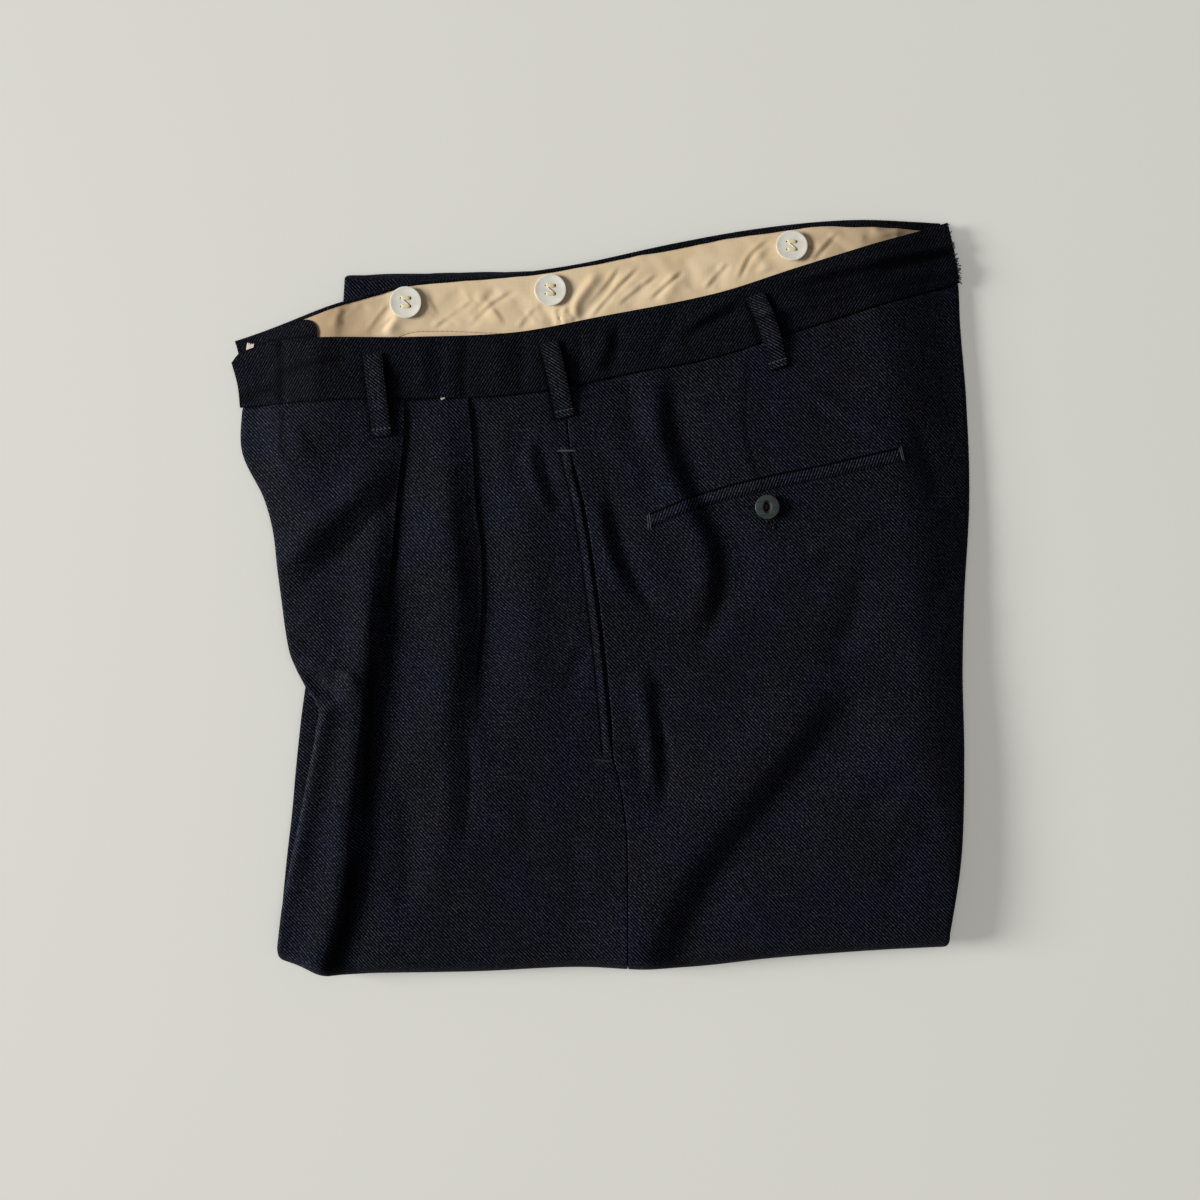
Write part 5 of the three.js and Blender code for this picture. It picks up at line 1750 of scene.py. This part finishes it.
class SLACKS_OT_brace_buttons(bpy.types.Operator):
    """Make the three white buttons inside the waistband, with the thread that holds them"""

    bl_idname = "slacks.brace_buttons"
    bl_label = "Brace buttons"

    def execute(self, context):
        half = BRACE_BUTTON_SPACING / 2
        model = disc("brace_button_model", BRACE_BUTTON_SIZE, 0.88, 0.06)
        holes = [(half, half), (half, -half), (-half, half), (-half, -half)]
        drill(model, holes, BRACE_BUTTON_HOLE, BRACE_BUTTON_SIZE[1])
        finish = material("white_button", white_button, trim_look())
        for i, (x, y) in enumerate(BRACE_BUTTONS):
            matrix = on_surface(lining_plane, x, y, BRACE_BUTTON_SIZE[0] / 2, 0.2)
            obj = bpy.data.objects.new(f"brace_button_{i + 1}_disc", model.data.copy())
            context.scene.collection.objects.link(obj)
            obj.data.transform(matrix)
            dress(obj, finish, "brace_button", f"brace_button_{i + 1}")
            top = 0.95 * BRACE_BUTTON_SIZE[1]
            strands = []
            for row in (half, -half):
                for k in (-0.5, 0.5):
                    strands.append(((-half - 0.5, row + k, top), (half + 0.5, row + k * 0.8, top), 1.2, 0.7))
            strands.append(((-half, half - 0.4, top + 0.1), (half, 0.4 - half, top + 0.1), 0.55, 0.4))
            sew(f"brace_button_{i + 1}_thread", strands, "cream_thread", "lining", matrix)
        bpy.data.objects.remove(model)
        return {"FINISHED"}


def matrix_from_middle(matrix):
    """The same placing, for a mesh whose own middle stands for the frame's origin."""
    return matrix @ Matrix.Translation(Vector(MIDDLE) * MM)


class SLACKS_OT_pocket_button(bpy.types.Operator):
    """Make the dark button of the back pocket and its buttonhole"""

    bl_idname = "slacks.pocket_button"
    bl_label = "Pocket button"

    def execute(self, context):
        half = POCKET_BUTTON_SPACING / 2
        obj = disc("back_pocket_button_disc", POCKET_BUTTON_SIZE, 0.52, 0.3, 0.66)
        drill(obj, [(0, half), (0, -half)], POCKET_BUTTON_HOLE, POCKET_BUTTON_SIZE[1])
        points = np.array([vertex.co for vertex in obj.data.vertices]) / MM
        recess = 1 - smooth(np.hypot(points[:, 0] / 0.66, points[:, 1]), 3.1, 4.1)
        tint = obj.data.attributes.new("recess", "FLOAT", "POINT")
        tint.data.foreach_set("value", recess.astype(np.float32))
        x, y = POCKET_BUTTON
        matrix = on_surface(seat_plane, x, y, POCKET_BUTTON_SIZE[0] / 2, 0.5)
        obj.data.transform(matrix)
        dress(obj, material("slate_button", slate_button, trim_look()), "pocket_button", "back_pocket_button")
        strands = [((k, -half, 1.95), (k * 0.7, half, 1.95), 0.6, 0.5) for k in (-0.35, 0.35)]
        sew("pocket_button_thread", strands, "dark_thread", matrix=matrix)
        random = np.random.default_rng(77)
        # Every sixth strand is light grey: painted highlight on the dark buttonhole thread
        places, light = [], []
        for k in range(34):
            angle, reach = random.uniform(0, 2 * math.pi), random.uniform(0.4, 1)
            spot = np.array(BUTTONHOLE) + reach * np.array([3.2 * math.cos(angle), 2.9 * math.sin(angle)])
            far = spot + random.uniform(-1.6, 1.6, 2)
            height = float(back_surface(*spot)) + 0.35
            strand = ((*spot, height), (*far, height + random.uniform(0, 0.6)), 0.6, 0.45)
            (light if k % 6 == 0 else places).append(strand)
        sew("buttonhole_glint_strands", [(*ends, 0.3, 0.3) for *ends, _, _ in light], "grey_thread")
        sew("buttonhole_thread", places, "dark_thread")
        return {"FINISHED"}


class SLACKS_OT_sewing(bpy.types.Operator):
    """Sew the rows of stitches, the bar tacks and the loose threads"""

    bl_idname = "slacks.sewing"
    bl_label = "Sewing"

    def execute(self, context):
        width = trim_look().thread_width / MM
        stitch = trim_look().stitch_length / MM
        heights = np.linspace(POCKET_TOP - 2, POCKET_BOTTOM + 2, 12)
        pocket = [(float(side_seam(y)) - HEM + STITCHED_IN, y) for y in heights]
        rows = running(pocket, front_surface, stitch, STITCH_GAP, width, 0.05)
        rows += running([(-180, 104), (-180.4, 92), (-178, 80)], front_surface, stitch, STITCH_GAP, width)
        rows += running([(-180, 112), (-180.6, 128), (-181.2, 143)], band_surface, stitch, STITCH_GAP, width)
        sew("row_stitches", rows, "dark_thread")
        loops, ends_sewn = loop_stitches(stitch, width)
        sew("loop_stitches", loops, "dark_thread")
        sew("loop_end_stitches", ends_sewn, "faded_thread")
        sew("frayed_ends", frayed_places(), "faded_thread")
        tacks = bar_tack((-20.0, 82.0), (11.4, 0.2), 4, 0.6, front_surface, lift=0.55)
        tacks += bar_tack((26.0, 42.2), (1.4, -9.6), 2, 1.2, back_surface, lift=1.0)
        tacks += bar_tack((167.5, 80.2), (2.2, -8.2), 2, 1.0, back_surface, lift=1.0)
        tacks += bar_tack((-103.3, 107.0), (0.9, 0.3), 1, 0, front_surface, 0.3, 0.3, 9)
        sew("grey_tacks", tacks, "grey_thread")
        low = bar_tack((0.4, -91.4), (11.4, -0.9), 2, 0.5, front_surface, 0.36, 0.3)
        sew("brown_tacks", low, "brown_thread")
        seam = running([(x, y + 0.3) for x, y in CURTAIN_SEAM], lining_surface, 2.6, 0.12, 0.34, -0.02)
        sew("curtain_seam_stitches", seam, "tan_thread", "lining")
        patch = bar_tack((-200.4, 142.2), (1.0, 5.0), 8, 3.6, facing_surface, 0.7, 0.2, 5)
        patch += bar_tack((-201.6, 139.2), (1.6, 0.4), 1, 0, facing_surface, 0.35, 0.2, 6)
        patch += bar_tack((-89.3, 111.2), (2.6, 0.7), 2, 0.5, band_surface, 0.4, 0.25, 7)
        sew("white_tacks", patch, "white_thread", "lining")
        return {"FINISHED"}


class SLACKS_OT_stage(bpy.types.Operator):
    """Set up the table, the lights and the camera"""

    bl_idname = "slacks.stage"
    bl_label = "Table, lights and camera"

    def execute(self, context):
        look = context.scene.slacks_stage
        bpy.ops.object.select_all(action="DESELECT")
        bpy.ops.mesh.primitive_plane_add(size=8.0, location=(0, 0, -0.0002))
        table = context.object
        table.name = "table_top"
        bpy.ops.object.transform_apply(location=True)
        table.data.materials.append(material("table_top", table_top, look))
        context.scene.view_settings.view_transform = "Standard"
        world = bpy.data.worlds.new("soft_room")
        world.use_nodes = True
        background = world.node_tree.nodes["Background"]
        background.inputs["Color"].default_value = (1.0, 0.985, 0.96, 1)
        background.inputs["Strength"].default_value = look.fill
        context.scene.world = world
        self.light("window", (-8.0, 0.3, 3.5), 3.4, look.key_power, (1.0, 0.99, 0.965))
        ceiling = self.light("ceiling", (0.0, 0.0, 6.0), 5.0, look.ceiling_power, (1.0, 0.99, 0.97))
        lit = bpy.data.collections.new("lit_by_ceiling")
        lit.objects.link(table)
        ceiling.light_linking.receiver_collection = lit
        camera = bpy.data.cameras.new("camera")
        camera.lens = look.lens
        camera.sensor_width = 36.0
        holder = bpy.data.objects.new("camera", camera)
        holder.location = (0.0, -0.002, look.camera_height)
        context.scene.collection.objects.link(holder)
        context.scene.camera = holder
        return {"FINISHED"}

    def light(self, name, place, size, power, tint):
        lamp = bpy.data.lights.new(name, "AREA")
        lamp.shape = "DISK"
        lamp.size = size
        lamp.energy = power
        lamp.color = tint
        holder = bpy.data.objects.new(name, lamp)
        holder.location = place
        holder.rotation_euler = (-Vector(place)).to_track_quat("-Z", "Y").to_euler()
        bpy.context.scene.collection.objects.link(holder)
        return holder


OPERATORS = (
    SLACKS_OT_hidden_layers,
    SLACKS_OT_panels,
    SLACKS_OT_waist,
    SLACKS_OT_pockets,
    SLACKS_OT_belt_loops,
    SLACKS_OT_brace_buttons,
    SLACKS_OT_pocket_button,
    SLACKS_OT_sewing,
    SLACKS_OT_stage,
)


class SLACKS_PT_sidebar(bpy.types.Panel):
    """Settings and steps of the folded slacks"""

    bl_idname = "SLACKS_PT_sidebar"
    bl_label = "Folded slacks"
    bl_space_type = "VIEW_3D"
    bl_region_type = "UI"
    bl_category = "Slacks"

    def draw(self, context):
        for group in (context.scene.slacks_cloth, context.scene.slacks_trim, context.scene.slacks_stage):
            box = self.layout.box()
            for name in group.bl_rna.properties.keys():
                if name not in ("rna_type", "name"):
                    box.prop(group, name)
        for operator in OPERATORS:
            self.layout.operator(operator.bl_idname)


CLASSES = (SlacksClothSettings, SlacksTrimSettings, SlacksStageSettings, *OPERATORS, SLACKS_PT_sidebar)


def register():
    for cls in CLASSES:
        bpy.utils.register_class(cls)
    bpy.types.Scene.slacks_cloth = PointerProperty(type=SlacksClothSettings)
    bpy.types.Scene.slacks_trim = PointerProperty(type=SlacksTrimSettings)
    bpy.types.Scene.slacks_stage = PointerProperty(type=SlacksStageSettings)


def unregister():
    del bpy.types.Scene.slacks_stage
    del bpy.types.Scene.slacks_trim
    del bpy.types.Scene.slacks_cloth
    for cls in reversed(CLASSES):
        bpy.utils.unregister_class(cls)


def main():
    register()
    for operator in OPERATORS:
        group, name = operator.bl_idname.split(".")
        getattr(getattr(bpy.ops, group), name)()


if __name__ == "__main__":
    main()
